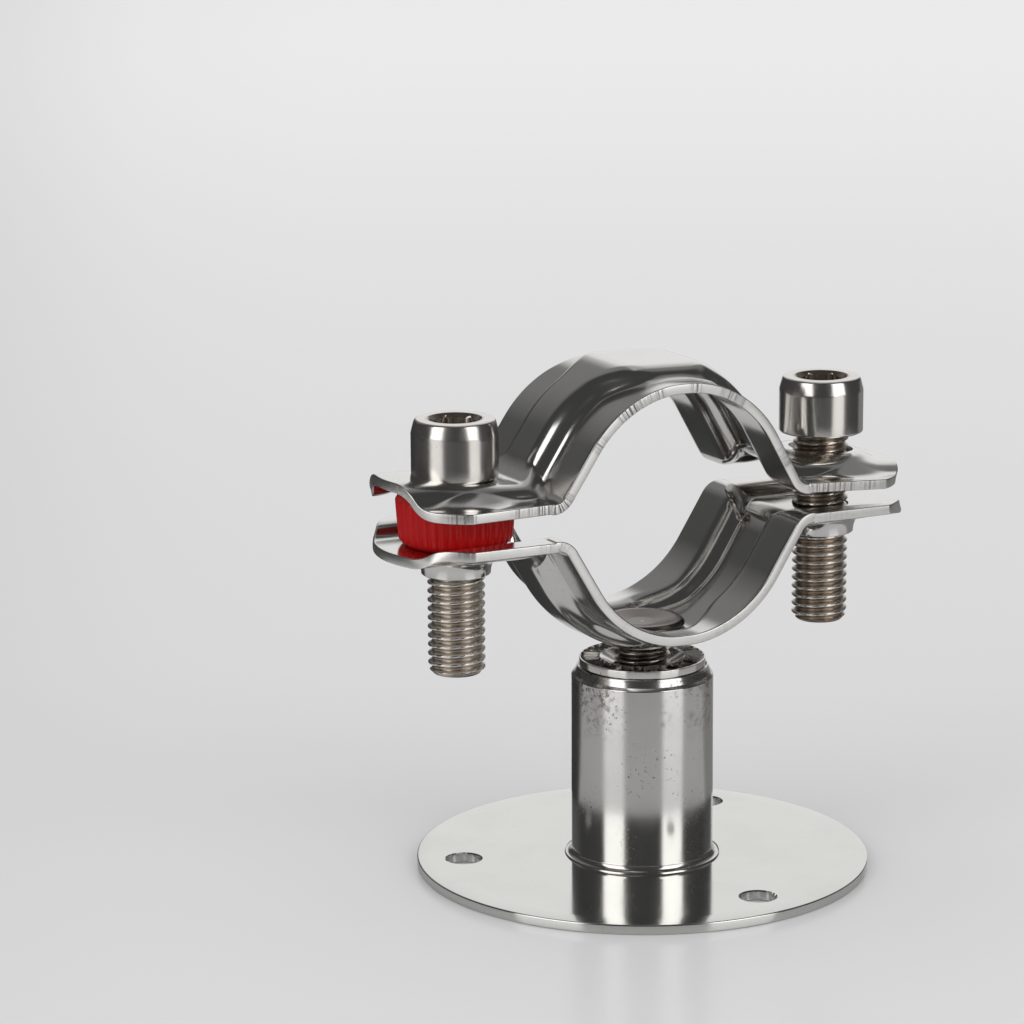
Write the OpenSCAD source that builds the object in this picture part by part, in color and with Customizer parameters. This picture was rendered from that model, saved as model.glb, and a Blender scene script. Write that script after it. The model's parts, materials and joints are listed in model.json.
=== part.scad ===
// Stainless pipe bracket on a round foot: a two-part ribbed clamp for a 32 mm pipe,
// carried by a headed M8 stud that screws into a flange nut on top of a welded sleeve.
// X runs from screw to screw, Y along the pipe, Z up. The origin is the middle of the foot's underside.

/* [Foot] */
// Diameter of the round foot plate
base_d = 64; // [58:1:80]
// Thickness of the foot plate
base_t = 1.5; // [1:0.1:3]
// Diameter of the circle that the fixing holes lie on
hole_circle_d = 51; // [44:0.5:52]
// Diameter of each fixing hole
hole_d = 5; // [3.5:0.1:6]
// Number of fixing holes
hole_count = 3; // [2:1:6]
// Direction of the first fixing hole, from X
hole_start = 158; // [0:1:359]
// Break of the foot plate's two rims
base_rim = 0.2; // [0.1:0.05:0.4]

/* [Sleeve] */
// Outside diameter of the sleeve
sleeve_d = 20; // [19:0.5:24]
// Wall of the sleeve
sleeve_wall = 1; // [0.8:0.1:1.5]
// Height of the sleeve above the foot plate
sleeve_h = 27.2; // [22:0.1:60]
// Height of the rolled shoulder at the top of the sleeve
shoulder_h = 1; // [0.6:0.1:1.4]
// Radius that the shoulder is turned in by
shoulder_in = 0.9; // [0.5:0.1:1.2]
// Radial play of the nut's hexagon in the rolled top
nut_play = 0.2; // [0.1:0.05:0.4]
// Leg of the weld at the sleeve's foot
weld_leg = 1; // [0.6:0.1:2]

/* [Flange nut] */
// Diameter of the serrated flange
flange_d = 17.8; // [16.8:0.1:18]
// Thickness of the flange at its rim
flange_t = 1.6; // [1.2:0.1:2.4]
// Height of the hexagon under the flange
nut_hex_h = 6.4; // [4:0.1:9]
// Hexagon of the nut across its flats
nut_flats = 13; // [12.5:0.1:13.2]
// Height of the chamfer on the hexagon's corners
hex_chamfer_h = 0.7; // [0.4:0.1:1.2]
// Diameter of the countersink in the serrated face
nut_sink_d = 11.8; // [9:0.1:12.5]
// Depth of the countersink
nut_sink_h = 1.2; // [0.6:0.1:2]
// Number of serrations
serrations = 34; // [24:1:40]
// Width of one serration
serration_w = 0.8; // [0.5:0.05:0.9]
// Depth of one serration
serration_h = 0.35; // [0.2:0.05:0.6]
// Break of the flange's two rims
flange_rim = 0.2; // [0.1:0.05:0.4]
// Plain land left inside and outside the ring of serrations
serration_land = 0.1; // [0.05:0.05:0.4]

/* [Thread] */
// Nominal diameter of the stud's and the screws' thread
thread_d = 8; // [7.6:0.1:8.4]
// Radial play of a thread in its tapped hole
thread_play = 0.05; // [0.02:0.01:0.1]

/* [Stud] */
// Diameter of the stud's round head
stud_head_d = 12; // [10:0.1:12.2]
// Thickness of the stud's head
stud_head_h = 1.2; // [1:0.1:1.4]
// Break of the head's two rims
stud_head_rim = 0.5; // [0.3:0.05:0.5]
// Play under the head, on which the clamp turns
stud_head_play = 0.2; // [0.2:0.05:0.4]
// Diameter of the dish in the head
stud_dish_d = 9.6; // [8:0.1:10.4]
// Diameter of the dish's floor
stud_dish_floor_d = 4.2; // [2:0.1:6]
// Depth of the dish in the head
stud_dish = 0.5; // [0.2:0.1:0.8]
// Diameter of the plain neck under the head
stud_neck_d = 7.1; // [6:0.1:7.4]
// Length of the plain neck
stud_neck_h = 2.6; // [2:0.1:6]
// Length of the taper from the neck to the thread
stud_taper_h = 0.4; // [0.2:0.1:1]
// Radial play of the stud in the clamp's hole
stud_hole_play = 0.2; // [0.1:0.05:0.4]
// Length of the stud under its head
stud_len = 20; // [16:0.5:26]
// Gap between the nut and the clamp, as the stud is screwed in
stud_gap = 2.7; // [1.6:0.1:8]

/* [Clamp sheet] */
// Outside diameter of the pipe that the clamp takes
pipe_d = 32; // [30:0.5:34]
// Thickness of the pressed sheet
sheet_t = 1.4; // [1.2:0.1:1.6]
// Width of the strip along the pipe
strip_w = 25; // [23:0.5:32]
// Height of the pressed rib round the pipe
rib_h = 2.4; // [2:0.1:2.6]
// Width on the rib's crown where it is pressed flat, at the middle of each half
plateau_w = 11.2; // [10.8:0.2:12]
// Run of the rib's rolled side beside that flat
plateau_roll = 4; // [3:0.1:4.8]
// Width on the rib's crown down the legs
flank_w = 5.6; // [4:0.2:8]
// Run of the rib's rolled side down the legs
flank_roll = 2.6; // [2.4:0.1:4]
// Depth of the flat that is pressed into the crown
crown_flat = 0.8; // [0.8:0.1:1.2]
// Lean of the clamp's straight legs from the pipe's upright
leg_lean = 32; // [28:1:36]
// Step from the pipe's middle to the ear's pipe side
ear_step = 0.6; // [0.3:0.05:1.6]
// Bend from leg to ear at the strip's edges, on the pipe side
edge_bend_r = 3.5; // [2.5:0.1:4]
// Bend from leg to ear at the crown, on the pipe side
crown_bend_r = 6; // [5:0.1:6.5]

/* [Ears] */
// Distance between the two screws
screw_span = 59; // [57.5:0.5:64]
// Reach of each ear past its screw
ear_reach = 10.8; // [9:0.1:13]
// Radius of the ear's rounded end
ear_end_r = 14.5; // [13:0.5:26]
// Width on the rib's crown in the ears
ear_crown_w = 14; // [12:0.2:14.6]
// Run of the rib's rolled side in the ears
ear_roll = 2.4; // [2:0.1:3]
// Height of the rib where it leaves the bend
ear_rib_h = 2; // [1.6:0.1:2.4]
// Height of the rib at the end of a lower ear
lower_end_rib_h = 1.9; // [1:0.1:2.6]
// Height of the rib at the end of the upper left ear
left_end_rib_h = 2.4; // [1.6:0.1:2.6]
// Height of the rib at the end of the upper right ear
right_end_rib_h = 1.2; // [0.8:0.1:2.4]
// Diameter of the clearance hole in an upper ear
ear_hole_d = 9.2; // [8.8:0.1:10]
// Diameter of the raised seat under a screw head
seat_d = 11.2; // [10.6:0.1:11.6]
// Diameter of the seat's cone at its root
seat_root_d = 17; // [15:0.2:18]
// Rise of the seat above the flats of the ear
seat_rise = 2.6; // [2.4:0.1:3]
// Height above the flats at which the seat's cone starts, inside the rib
seat_root_h = 1; // [0.6:0.1:1.4]
// Diameter of the drawn collar at its root
collar_root_d = 12.2; // [11:0.1:13]
// Diameter of the drawn collar at its lip
collar_lip_d = 9.5; // [9:0.1:10.5]
// Height of the drawn collar below the ear
collar_h = 2.6; // [1.5:0.1:4]

/* [Clamp as fitted] */
// Tilt of the lower half, its left side up
lower_tilt = 1.1; // [0:0.1:1.5]
// Lift of the upper half's pipe centre above the lower half's
upper_lift = 2.1; // [1.8:0.1:4]
// Shift of the upper half along X
upper_shift = -0.8; // [-1:0.1:1]
// Tilt of the upper half, its left side up
upper_tilt = 2.6; // [2:0.1:3.2]
// Droop that the tightened left ear has taken
left_droop = 2.6; // [2:0.1:4]
// Droop of the right ear
right_droop = 1.4; // [0:0.1:2]

/* [Cap screws] */
// Diameter of a screw head
head_d = 12; // [11:0.1:13]
// Height of a screw head
head_h = 8; // [6:0.1:9]
// Height of the bevel at the top of a head
head_bevel_h = 1.4; // [0.5:0.1:2]
// Radius that the bevel takes off
head_bevel = 0.5; // [0.2:0.1:1]
// Break of the head's two rims
head_rim = 0.25; // [0.1:0.05:0.4]
// Hexagon socket across its flats
socket_flats = 6; // [5:0.1:6.5]
// Depth of the socket
socket_h = 4; // [3:0.1:5]
// Depth of the cone at the socket's floor
socket_cone_h = 0.8; // [0.4:0.1:1.4]
// Diameter of the socket's chamfered mouth
socket_mouth_d = 7.2; // [7.1:0.1:8]
// Length of a screw under its head
screw_len = 27.5; // [24:0.5:36]
// Point chamfer of a thread
point_chamfer = 0.8; // [0.5:0.1:1.2]
// Height that the right screw's head stands above its ear
right_head_gap = 3; // [0:0.1:5]

/* [Spacer] */
// Diameter of the spacer at its foot
spacer_foot_d = 14; // [13:0.1:14.2]
// Diameter of the spacer at its top rim
spacer_top_d = 16.4; // [15.6:0.1:16.6]
// Slope of the spacer's rim where it enters the upper rib, in rise for each mm of run
spacer_rim_slope = 1.4; // [1.3:0.1:2]
// Radial play of the spacer on its screw
spacer_play = 0.3; // [0.1:0.05:0.5]
// Number of ribs round the spacer
spacer_ribs = 36; // [24:2:48]
// Depth of the grooves between the ribs
spacer_groove = 0.3; // [0.1:0.05:0.5]
// Width of a groove
spacer_groove_w = 0.55; // [0.3:0.05:0.7]
// Play between the spacer and each of the two ribs it fills
spacer_ease = 0.15; // [0.1:0.05:0.4]

/* [Hidden] */
$fn = 96;

// Overlap that lets joined solids fuse, and cutters pass through
fuse = 0.02;
cut = 1;

sleeve_r = sleeve_d/2;
sleeve_top = base_t + sleeve_h;
nut_top = sleeve_top + flange_t;
nut_corner_r = nut_flats/sqrt(3);
thread_r = thread_d/2;
tapped_r = thread_r + thread_play;
pipe_r = pipe_d/2;
screw_x = screw_span/2;

// Heights of the clamp: the crown's flat stands the stud's gap above the nut
crown_r = pipe_r + rib_h + sheet_t;
crown_flat_z = crown_r - crown_flat;
clamp_z = nut_top + stud_gap + crown_flat_z;
stud_seat_z = clamp_z - crown_flat_z + sheet_t + stud_head_play;
upper_z = clamp_z + upper_lift;

// Leg and ear of one half in its own frame, pipe centre at the origin and rib upward
leg_angle = 90 - leg_lean;
leg_top = pipe_r*[sin(leg_angle), cos(leg_angle)];
leg_len = (leg_top[1] - ear_step)/sin(leg_angle);
knee = leg_top + leg_len*[cos(leg_angle), -sin(leg_angle)];
bend_steps = 7;
last_station = bend_steps + 2;
leg_start = 0.5;
ear_len = screw_x + ear_reach - knee[0];

// Stock left on the pipe seat for the round cut that finishes it
seat_stock = 0.3;

// Angles round the pipe at which the sheet is drawn, with one at each end of the crown's flat
flat_angle = acos(crown_flat_z/crown_r);
arc_steps = 5;
arc_angles = concat(
    [for (i = [0:arc_steps]) -leg_angle + i*(leg_angle - flat_angle)/arc_steps],
    [for (i = [1:arc_steps]) -flat_angle + i*2*flat_angle/arc_steps],
    [for (i = [1:arc_steps]) flat_angle + i*(leg_angle - flat_angle)/arc_steps]
);

// Points on each of the two equal arcs of a rolled side
roll_steps = 4;
function roll_angle(w, h) = 2*atan(h/w);
function roll_radius(w, h) = w/2/sin(roll_angle(w, h));

// Middle line of the front half of the strip's section: [Y, rise, slope, share of the rise]
function half_line(c, w, h) = let (
    full = roll_angle(w, h),
    r = roll_radius(w, h)
) concat(
    [[-strip_w/2, 0, 0, 0]],
    [for (i = [0:roll_steps]) let (a = full*i/roll_steps, z = r*(1 - cos(a)))
        [r*sin(a) - c - w, z, a, z/h]],
    [for (i = [roll_steps-1:-1:0]) let (a = full*i/roll_steps, z = h - r*(1 - cos(a)))
        [-c - r*sin(a), z, a, z/h]]
);

// Closed section of the strip, with half crown width c, rolled run w and rib height h.
// Each point is [Y, rise of the middle line, depth from the pipe side, share of the rise].
function side_point(p, s) = [
    p[0] - s*sheet_t/2*sin(p[2]),
    p[1],
    sheet_t/2 + s*sheet_t/2*cos(p[2]),
    p[3]
];
function section(c, w, h) = let (
    front = half_line(c, w, h),
    last = len(front) - 1,
    line = concat(front, [for (i = [last:-1:0]) let (p = front[i]) [-p[0], p[1], -p[2], p[3]]])
) concat(
    [for (p = line) side_point(p, -1)],
    [for (i = [2*last+1:-1:0]) side_point(line[i], 1)]
);

// Share of the way from 0 to 1, eased at both ends
function ease(u) = let (v = max(0, min(1, u))) v*v*(3 - 2*v);
function mix(a, b, u) = a + (b - a)*ease(u);

// Angles from the crown's middle between which the rib narrows to its width on the legs
narrow_start = 11;
narrow_end = 34;

// Section round the pipe at an angle, and at station k of a knee whose ear ends with a given rib
function arc_section(a) = let (u = (abs(a) - narrow_start)/(narrow_end - narrow_start)) section(
    mix(plateau_w, flank_w, u)/2,
    mix(plateau_roll, flank_roll, u),
    rib_h
);
function knee_section(k, end_h) = let (u = k/(bend_steps + 1)) section(
    mix(flank_w, ear_crown_w, u)/2,
    mix(flank_roll, ear_roll, u),
    k == last_station ? end_h : mix(rib_h, ear_rib_h, u)
);

// Rise of the rib at the screw, in an ear that ends with a given rib
function screw_rise(end_h) = let (
    start = (ear_rib_h + crown_bend_r)*tan(leg_angle/2),
    run = screw_x - knee[0] - start
) ear_rib_h + (end_h - ear_rib_h)*run/(ear_len + cut - start);

// Direction of a leg or ear that falls by an angle, and its outward normal, in X and Z
function along(a) = [cos(a), -sin(a)];
function outward(a) = [sin(a), cos(a)];

// One point of the knee's sheet: the section point p carried to station k round its own bend
function knee_point(p, k, droop) = let (
    d = p[1] + p[2],
    r = edge_bend_r + (crown_bend_r - edge_bend_r)*p[3] - p[2],
    corner = knee + d*(outward(leg_angle) + outward(droop))/(1 + cos(leg_angle - droop)),
    tangent = r*tan((leg_angle - droop)/2),
    centre = corner - tangent*along(leg_angle) + r*outward(leg_angle),
    a = leg_angle + (droop - leg_angle)*(k - 1)/bend_steps,
    q = k == 0 ? leg_top + leg_start*along(leg_angle) + d*outward(leg_angle)
        : k == last_station ? knee + (ear_len + cut)*along(droop) + d*outward(droop)
        : centre - r*outward(a)
) [q[0], p[0], q[1]];

// One point of the sheet round the pipe: the section point p at an angle, with the crown pressed flat
function arc_point(p, a) = let (
    stock = p[1] + p[2] == 0 ? seat_stock : 0,
    r = pipe_r + p[1] + p[2] - stock
) [r*sin(a), p[0], min(r*cos(a), r - crown_flat*p[3])];

// Pressed sheet of one half, from beyond the left ear's end to beyond the right one's.
// Each ear is given as [droop, rib height at its end].
module pressed_sheet(left, right) {
    n = len(section(1, 1, 1));
    stations = concat(
        [for (k = [last_station:-1:0])
            [for (p = knee_section(k, left[1])) let (q = knee_point(p, k, left[0])) [-q[0], q[1], q[2]]]],
        [for (a = arc_angles) [for (p = arc_section(a)) arc_point(p, a)]],
        [for (k = [0:last_station]) [for (p = knee_section(k, right[1])) knee_point(p, k, right[0])]]
    );
    rows = len(stations);
    walls = [for (k = [0:rows-2]) for (i = [0:n-1])
        let (a = k*n + i, b = k*n + (i + 1)%n)
        each [[a, a + n, b], [b, a + n, b + n]]];
    cap = [for (i = [0:n/2-2]) [i, i + 1, n - 2 - i, n - 1 - i]];
    caps = concat(cap, [for (f = cap) [for (i = [3:-1:0]) (rows - 1)*n + f[i]]]);
    polyhedron([for (row = stations) each row], concat(walls, caps), convexity = 6);
}

// Cutter that rounds the end of the right ear, square to the ear
module ear_end_cut(droop) {
    middle = ear_len - ear_end_r;
    translate([knee[0], 0, knee[1]])
        rotate([0, droop, 0])
            translate([middle, 0, -cut])
                linear_extrude(crown_r/2)
                    difference() {
                        translate([0, -strip_w])
                            square([3*ear_end_r, 2*strip_w]);
                        circle(r = ear_end_r);
                    }
}

// Pressed half with the pipe centre at the origin and its rib upward
module clamp_body(left, right) {
    difference() {
        pressed_sheet(left, right);
        ear_end_cut(right[0]);
        mirror([1, 0, 0])
            ear_end_cut(left[0]);
        rotate([90, 0, 0])
            cylinder(r = pipe_r, h = 2*strip_w, center = true);
    }
}

// Round foot plate with its fixing holes
module base_plate() {
    r = base_d/2;
    color("#c9c7c2")
        difference() {
            rotate_extrude()
                polygon([[0, 0], [r - base_rim, 0], [r, base_rim], [r, base_t - base_rim],
                    [r - base_rim, base_t], [0, base_t]]);
            for (i = [0:hole_count-1])
                rotate([0, 0, hole_start + i*360/hole_count])
                    translate([hole_circle_d/2, 0, -cut])
                        cylinder(d = hole_d, h = base_t + 2*cut);
        }
}

// Tube whose top is rolled in to carry the nut's flange
module sleeve() {
    bore = sleeve_r - sleeve_wall;
    lip_r = nut_corner_r + nut_play;
    shoulder_z = sleeve_top - shoulder_h;
    steps = 4;
    color("#b9b6b0")
        rotate_extrude()
            polygon(concat(
                [[bore, base_t], [sleeve_r, base_t]],
                [for (i = [0:steps]) let (a = 90*i/steps)
                    [sleeve_r - shoulder_in*(1 - cos(a)), shoulder_z + shoulder_h*sin(a)]],
                [[lip_r, sleeve_top], [lip_r, sleeve_top - sleeve_wall], [bore, shoulder_z - sleeve_wall]]
            ));
}

// Fillet weld between sleeve and foot
module foot_weld() {
    color("#a8a49d")
        rotate_extrude()
            polygon([[sleeve_r, base_t], [sleeve_r + weld_leg, base_t], [sleeve_r, base_t + weld_leg]]);
}

// One radial sawtooth groove, pointing along X, with a land at each end
module serration_cut() {
    start = nut_sink_d/2 + serration_land;
    end = flange_d/2 - flange_rim - serration_land;
    translate([start, 0, nut_top])
        rotate([90, 0, 90])
            linear_extrude(end - start)
                polygon([[-serration_w/2, cut], [-serration_w/2, -serration_h],
                    [serration_w/2, serration_h/4], [serration_w/2, cut]]);
}

// Flange nut set upside down: serrated face up, hexagon inside the sleeve
module flange_nut() {
    r = flange_d/2;
    hex_z = sleeve_top - nut_hex_h;
    color("#aba79f")
        difference() {
            union() {
                translate([0, 0, sleeve_top])
                    rotate_extrude()
                        polygon([[0, 0], [r - flange_rim, 0], [r, flange_rim],
                            [r, flange_t - flange_rim], [r - flange_rim, flange_t], [0, flange_t]]);
                translate([0, 0, hex_z])
                    intersection() {
                        cylinder(r = nut_corner_r, h = nut_hex_h + fuse, $fn = 6);
                        rotate_extrude()
                            polygon([[0, 0], [nut_flats/2, 0], [nut_corner_r + fuse, hex_chamfer_h],
                                [nut_corner_r + fuse, nut_hex_h + fuse], [0, nut_hex_h + fuse]]);
                    }
            }
            translate([0, 0, hex_z - cut])
                cylinder(r = tapped_r, h = nut_hex_h + flange_t + 2*cut);
            translate([0, 0, nut_top - nut_sink_h])
                cylinder(r1 = tapped_r, r2 = nut_sink_d/2, h = nut_sink_h);
            for (i = [0:serrations-1])
                rotate([0, 0, i*360/serrations])
                    serration_cut();
        }
}

// Headed stud that hangs the clamp in the nut
module stud() {
    head_r = stud_head_d/2;
    head_top = stud_seat_z + stud_head_h;
    neck_z = stud_seat_z - stud_neck_h;
    end_z = stud_seat_z - stud_len;
    color("#8f8a83")
        rotate_extrude()
            polygon([
                [0, end_z], [thread_r - point_chamfer, end_z], [thread_r, end_z + point_chamfer],
                [thread_r, neck_z - stud_taper_h], [stud_neck_d/2, neck_z], [stud_neck_d/2, stud_seat_z],
                [head_r - stud_head_rim, stud_seat_z], [head_r, stud_seat_z + stud_head_rim],
                [head_r, head_top - stud_head_rim], [head_r - stud_head_rim, head_top],
                [stud_dish_d/2, head_top], [stud_dish_floor_d/2, head_top - stud_dish],
                [0, head_top - stud_dish]
            ]);
}

// Height of a lower ear at a distance x from the middle, d below its pipe side
function lower_ear_z(x, d) = clamp_z - (ear_step + d)/cos(lower_tilt) - x*tan(lower_tilt);
lower_rise = screw_rise(lower_end_rib_h);

// Collar drawn out of a lower ear, flaring into it, with its root at the origin
module collar() {
    flare = (collar_root_d - collar_lip_d)/2;
    steps = 6;
    rotate_extrude()
        polygon(concat(
            [[0, sheet_t/2], [0, -collar_h]],
            [for (i = [0:steps]) let (a = 90*i/steps)
                [collar_lip_d/2 + flare*(1 - cos(a)), -collar_h*(1 - sin(a))]],
            [[collar_root_d/2, sheet_t/2]]
        ));
}

// Lower half: rib down, stud hole in the crown, tapped collars drawn out of the ears
module lower_clamp_half() {
    ear = [0, lower_end_rib_h];
    color("#bdb9b2")
        difference() {
            union() {
                translate([0, 0, clamp_z])
                    rotate([0, lower_tilt, 0])
                        mirror([0, 0, 1])
                            clamp_body(ear, ear);
                for (x = [-screw_x, screw_x])
                    translate([x, 0, lower_ear_z(x, lower_rise + sheet_t)])
                        collar();
            }
            for (x = [-screw_x, screw_x])
                translate([x, 0, lower_ear_z(x, crown_r)])
                    cylinder(r = tapped_r, h = 2*crown_r);
            translate([0, 0, nut_top])
                cylinder(r = thread_r + stud_hole_play, h = stud_gap + crown_r/2);
        }
}

// Place of a point of the upper half, given in the half's own frame as [X, Z]
function fitted(q) = [
    upper_shift + q[0]*cos(upper_tilt) + q[1]*sin(upper_tilt),
    upper_z - q[0]*sin(upper_tilt) + q[1]*cos(upper_tilt)
];

// Fall of each upper ear towards its end, and its height at a distance x from the middle, d above its pipe side
left_slope = left_droop - upper_tilt;
right_slope = right_droop + upper_tilt;
function left_ear_z(x, d) = let (
    q = knee + d*outward(left_droop),
    p = fitted([-q[0], q[1]])
) p[1] + (x - p[0])*tan(left_slope);
function right_ear_z(x, d) = let (p = fitted(knee + d*outward(right_droop)))
    p[1] - (x - p[0])*tan(right_slope);

// Raised seat of a screw head, with the ear's pipe side at the origin
module seat() {
    translate([0, 0, sheet_t + seat_root_h])
        cylinder(d1 = seat_root_d, d2 = seat_d, h = seat_rise - seat_root_h);
}

// Upper half as it sits, tilted by the spacer under its left ear
module upper_clamp_half() {
    color("#c4c0b9")
        difference() {
            union() {
                translate([upper_shift, 0, upper_z])
                    rotate([0, upper_tilt, 0])
                        clamp_body([left_droop, left_end_rib_h], [right_droop, right_end_rib_h]);
                translate([-screw_x, 0, left_ear_z(-screw_x, 0)])
                    rotate([0, -left_slope, 0])
                        seat();
                translate([screw_x, 0, right_ear_z(screw_x, 0)])
                    rotate([0, right_slope, 0])
                        seat();
            }
            for (x = [-screw_x, screw_x])
                translate([x, 0, clamp_z])
                    cylinder(d = ear_hole_d, h = crown_r);
        }
}
left_head_z = left_ear_z(-screw_x, 0) + sheet_t + seat_rise + abs(tan(left_slope))*seat_d/2;
right_head_z = right_ear_z(screw_x, 0) + sheet_t + seat_rise + right_head_gap;

// Socket-head cap screw with the underside of its head at the origin
module cap_screw() {
    r = head_d/2;
    mouth_h = (socket_mouth_d - socket_flats)/2;
    difference() {
        rotate_extrude()
            polygon([
                [0, -screw_len], [thread_r - point_chamfer, -screw_len],
                [thread_r, point_chamfer - screw_len], [thread_r, 0], [r - head_rim, 0], [r, head_rim],
                [r, head_h - head_bevel_h], [r - head_bevel, head_h - head_rim],
                [r - head_bevel - head_rim, head_h], [0, head_h]
            ]);
        translate([0, 0, head_h - socket_h])
            cylinder(d = socket_flats/cos(30), h = socket_h + cut, $fn = 6);
        translate([0, 0, head_h - socket_h - socket_cone_h])
            cylinder(r1 = 0, r2 = socket_flats/2, h = socket_cone_h + fuse);
        translate([0, 0, head_h - mouth_h])
            cylinder(d1 = socket_flats, d2 = socket_mouth_d + 2*fuse, h = mouth_h + fuse);
    }
}

// Left screw, tight on its ear
module left_screw() {
    color("#a39d95")
        translate([-screw_x, 0, left_head_z])
            cap_screw();
}

// Right screw, not yet run down
module right_screw() {
    color("#a39d95")
        translate([screw_x, 0, right_head_z])
            cap_screw();
}

// Foot and top of the spacer: on the floor of the lower rib, and under the roof of the upper one
spacer_lean = spacer_foot_d/2*tan(lower_tilt);
spacer_z = lower_ear_z(-screw_x, lower_rise) + spacer_lean + spacer_ease;
spacer_roof = min(ear_rib_h, screw_rise(left_end_rib_h));
spacer_top = left_ear_z(-screw_x - spacer_foot_d/2, spacer_roof) - spacer_ease;

// Ribbed plastic spacer between the left ears, filling both ribs
module spacer() {
    h = spacer_top - spacer_z;
    flare = (spacer_top_d - spacer_foot_d)/2;
    rim_z = h - flare*spacer_rim_slope;
    color("#a8080c")
        translate([-screw_x, 0, spacer_z])
            difference() {
                rotate_extrude()
                    polygon([[0, 0], [spacer_foot_d/2, 0], [spacer_top_d/2, rim_z],
                        [spacer_foot_d/2, h], [0, h]]);
                for (i = [0:spacer_ribs-1])
                    rotate([0, 0, i*360/spacer_ribs])
                        translate([spacer_foot_d/2 - spacer_groove, 0, 0])
                            rotate([0, atan(flare/rim_z), 0])
                                translate([0, -spacer_groove_w/2, -cut])
                                    cube([2*flare, spacer_groove_w, h + 2*cut]);
                translate([0, 0, -cut])
                    cylinder(r = thread_r + spacer_play, h = h + 2*cut);
            }
}

base_plate();
sleeve();
foot_weld();
flange_nut();
stud();
lower_clamp_half();
upper_clamp_half();
left_screw();
right_screw();
spacer();
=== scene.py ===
"""Dresses a stainless pipe bracket and lights it on a pale floor.

The bracket stands on a round drilled foot. A sleeve welded to the foot carries a serrated flange nut, and a
headed stud holds the ribbed two-part clamp in that nut. Two socket-head screws and a red spacer close the
clamp. Meshes are written in millimetres in the frame's own axes: X from screw to screw, Y along the pipe,
Z up.
"""

from __future__ import annotations

import json
import logging
import math
from dataclasses import dataclass, field, replace
from enum import Enum
from functools import partial
from typing import Any, Callable, NamedTuple, Sequence

import bmesh
import bpy
import numpy as np
from mathutils import Matrix, Vector

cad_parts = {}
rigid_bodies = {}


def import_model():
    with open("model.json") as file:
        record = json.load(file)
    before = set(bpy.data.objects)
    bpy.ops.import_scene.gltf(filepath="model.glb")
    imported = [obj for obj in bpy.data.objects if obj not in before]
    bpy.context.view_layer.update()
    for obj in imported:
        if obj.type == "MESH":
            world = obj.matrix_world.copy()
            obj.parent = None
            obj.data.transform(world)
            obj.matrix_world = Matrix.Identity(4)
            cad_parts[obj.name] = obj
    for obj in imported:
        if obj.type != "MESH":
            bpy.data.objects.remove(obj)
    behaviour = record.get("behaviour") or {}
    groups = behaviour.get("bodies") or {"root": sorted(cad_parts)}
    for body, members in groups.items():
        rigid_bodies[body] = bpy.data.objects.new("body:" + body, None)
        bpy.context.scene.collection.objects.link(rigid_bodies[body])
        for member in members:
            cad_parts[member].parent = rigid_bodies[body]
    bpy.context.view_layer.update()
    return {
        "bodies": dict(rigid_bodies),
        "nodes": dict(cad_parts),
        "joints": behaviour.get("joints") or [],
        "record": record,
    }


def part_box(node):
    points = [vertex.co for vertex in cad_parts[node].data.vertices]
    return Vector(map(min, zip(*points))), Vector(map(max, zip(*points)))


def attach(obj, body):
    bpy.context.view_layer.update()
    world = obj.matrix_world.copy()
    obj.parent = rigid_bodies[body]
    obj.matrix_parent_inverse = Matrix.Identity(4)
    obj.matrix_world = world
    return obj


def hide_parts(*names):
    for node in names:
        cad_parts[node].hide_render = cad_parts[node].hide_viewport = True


LOG = logging.getLogger("pipe_bracket")
MM = 0.001
BODY = "root"

Point = tuple[float, float, float]
Corner = tuple[float, float, float]
Colour = tuple[float, float, float]
Flat = tuple[float, float]
Faces = list[tuple[int, ...]]
Socket = bpy.types.NodeSocket


class Half(Enum):
    """The two pressed halves of the clamp, by node name."""

    LOWER = "lower_clamp_half"
    UPPER = "upper_clamp_half"


class Cut(Enum):
    """What a second solid does to the first one."""

    JOIN = "UNION"
    REMOVE = "DIFFERENCE"


# Numbers and small shapes


def ease(share: float) -> float:
    """Returns a share from 0 to 1 with a slow start and a slow end."""
    held = min(1.0, max(0.0, share))
    return held * held * (3.0 - 2.0 * held)


def between(first: float, last: float, share: float) -> float:
    """Returns the value at a share of the way from first to last."""
    return first + (last - first) * share


def soft_max(first: float, second: float, width: float) -> float:
    """Returns the larger value, with the change from one to the other rounded over a width."""
    near = max(0.0, width - abs(first - second)) / width
    return max(first, second) + near * near * width / 4.0


def soft_min(first: float, second: float, width: float) -> float:
    """Returns the smaller value, with the change from one to the other rounded over a width."""
    return -soft_max(-first, -second, width)


def rounded(outline: Sequence[Corner], steps: int = 5) -> list[Flat]:
    """Rounds the corners of an outline.

    Args:
        outline: Corners as (radius from the axis, height, fillet radius). The first and last stay sharp.
        steps: Points on each fillet, less one.

    Returns:
        The points of the rounded outline.
    """
    points: list[Flat] = []
    for index, (x, z, fillet) in enumerate(outline):
        if fillet <= 0 or index in (0, len(outline) - 1):
            points.append((x, z))
            continue
        corner = Vector((x, z))
        back = Vector(outline[index - 1][:2]) - corner
        ahead = Vector(outline[index + 1][:2]) - corner
        half = back.angle(ahead) / 2
        reach = min(fillet / math.tan(half), 0.48 * back.length, 0.48 * ahead.length)
        start = corner + back.normalized() * reach
        end = corner + ahead.normalized() * reach
        for step in range(steps + 1):
            share = step / steps
            first = start.lerp(corner, share)
            second = corner.lerp(end, share)
            points.append(tuple(first.lerp(second, share)))
    return points


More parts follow.
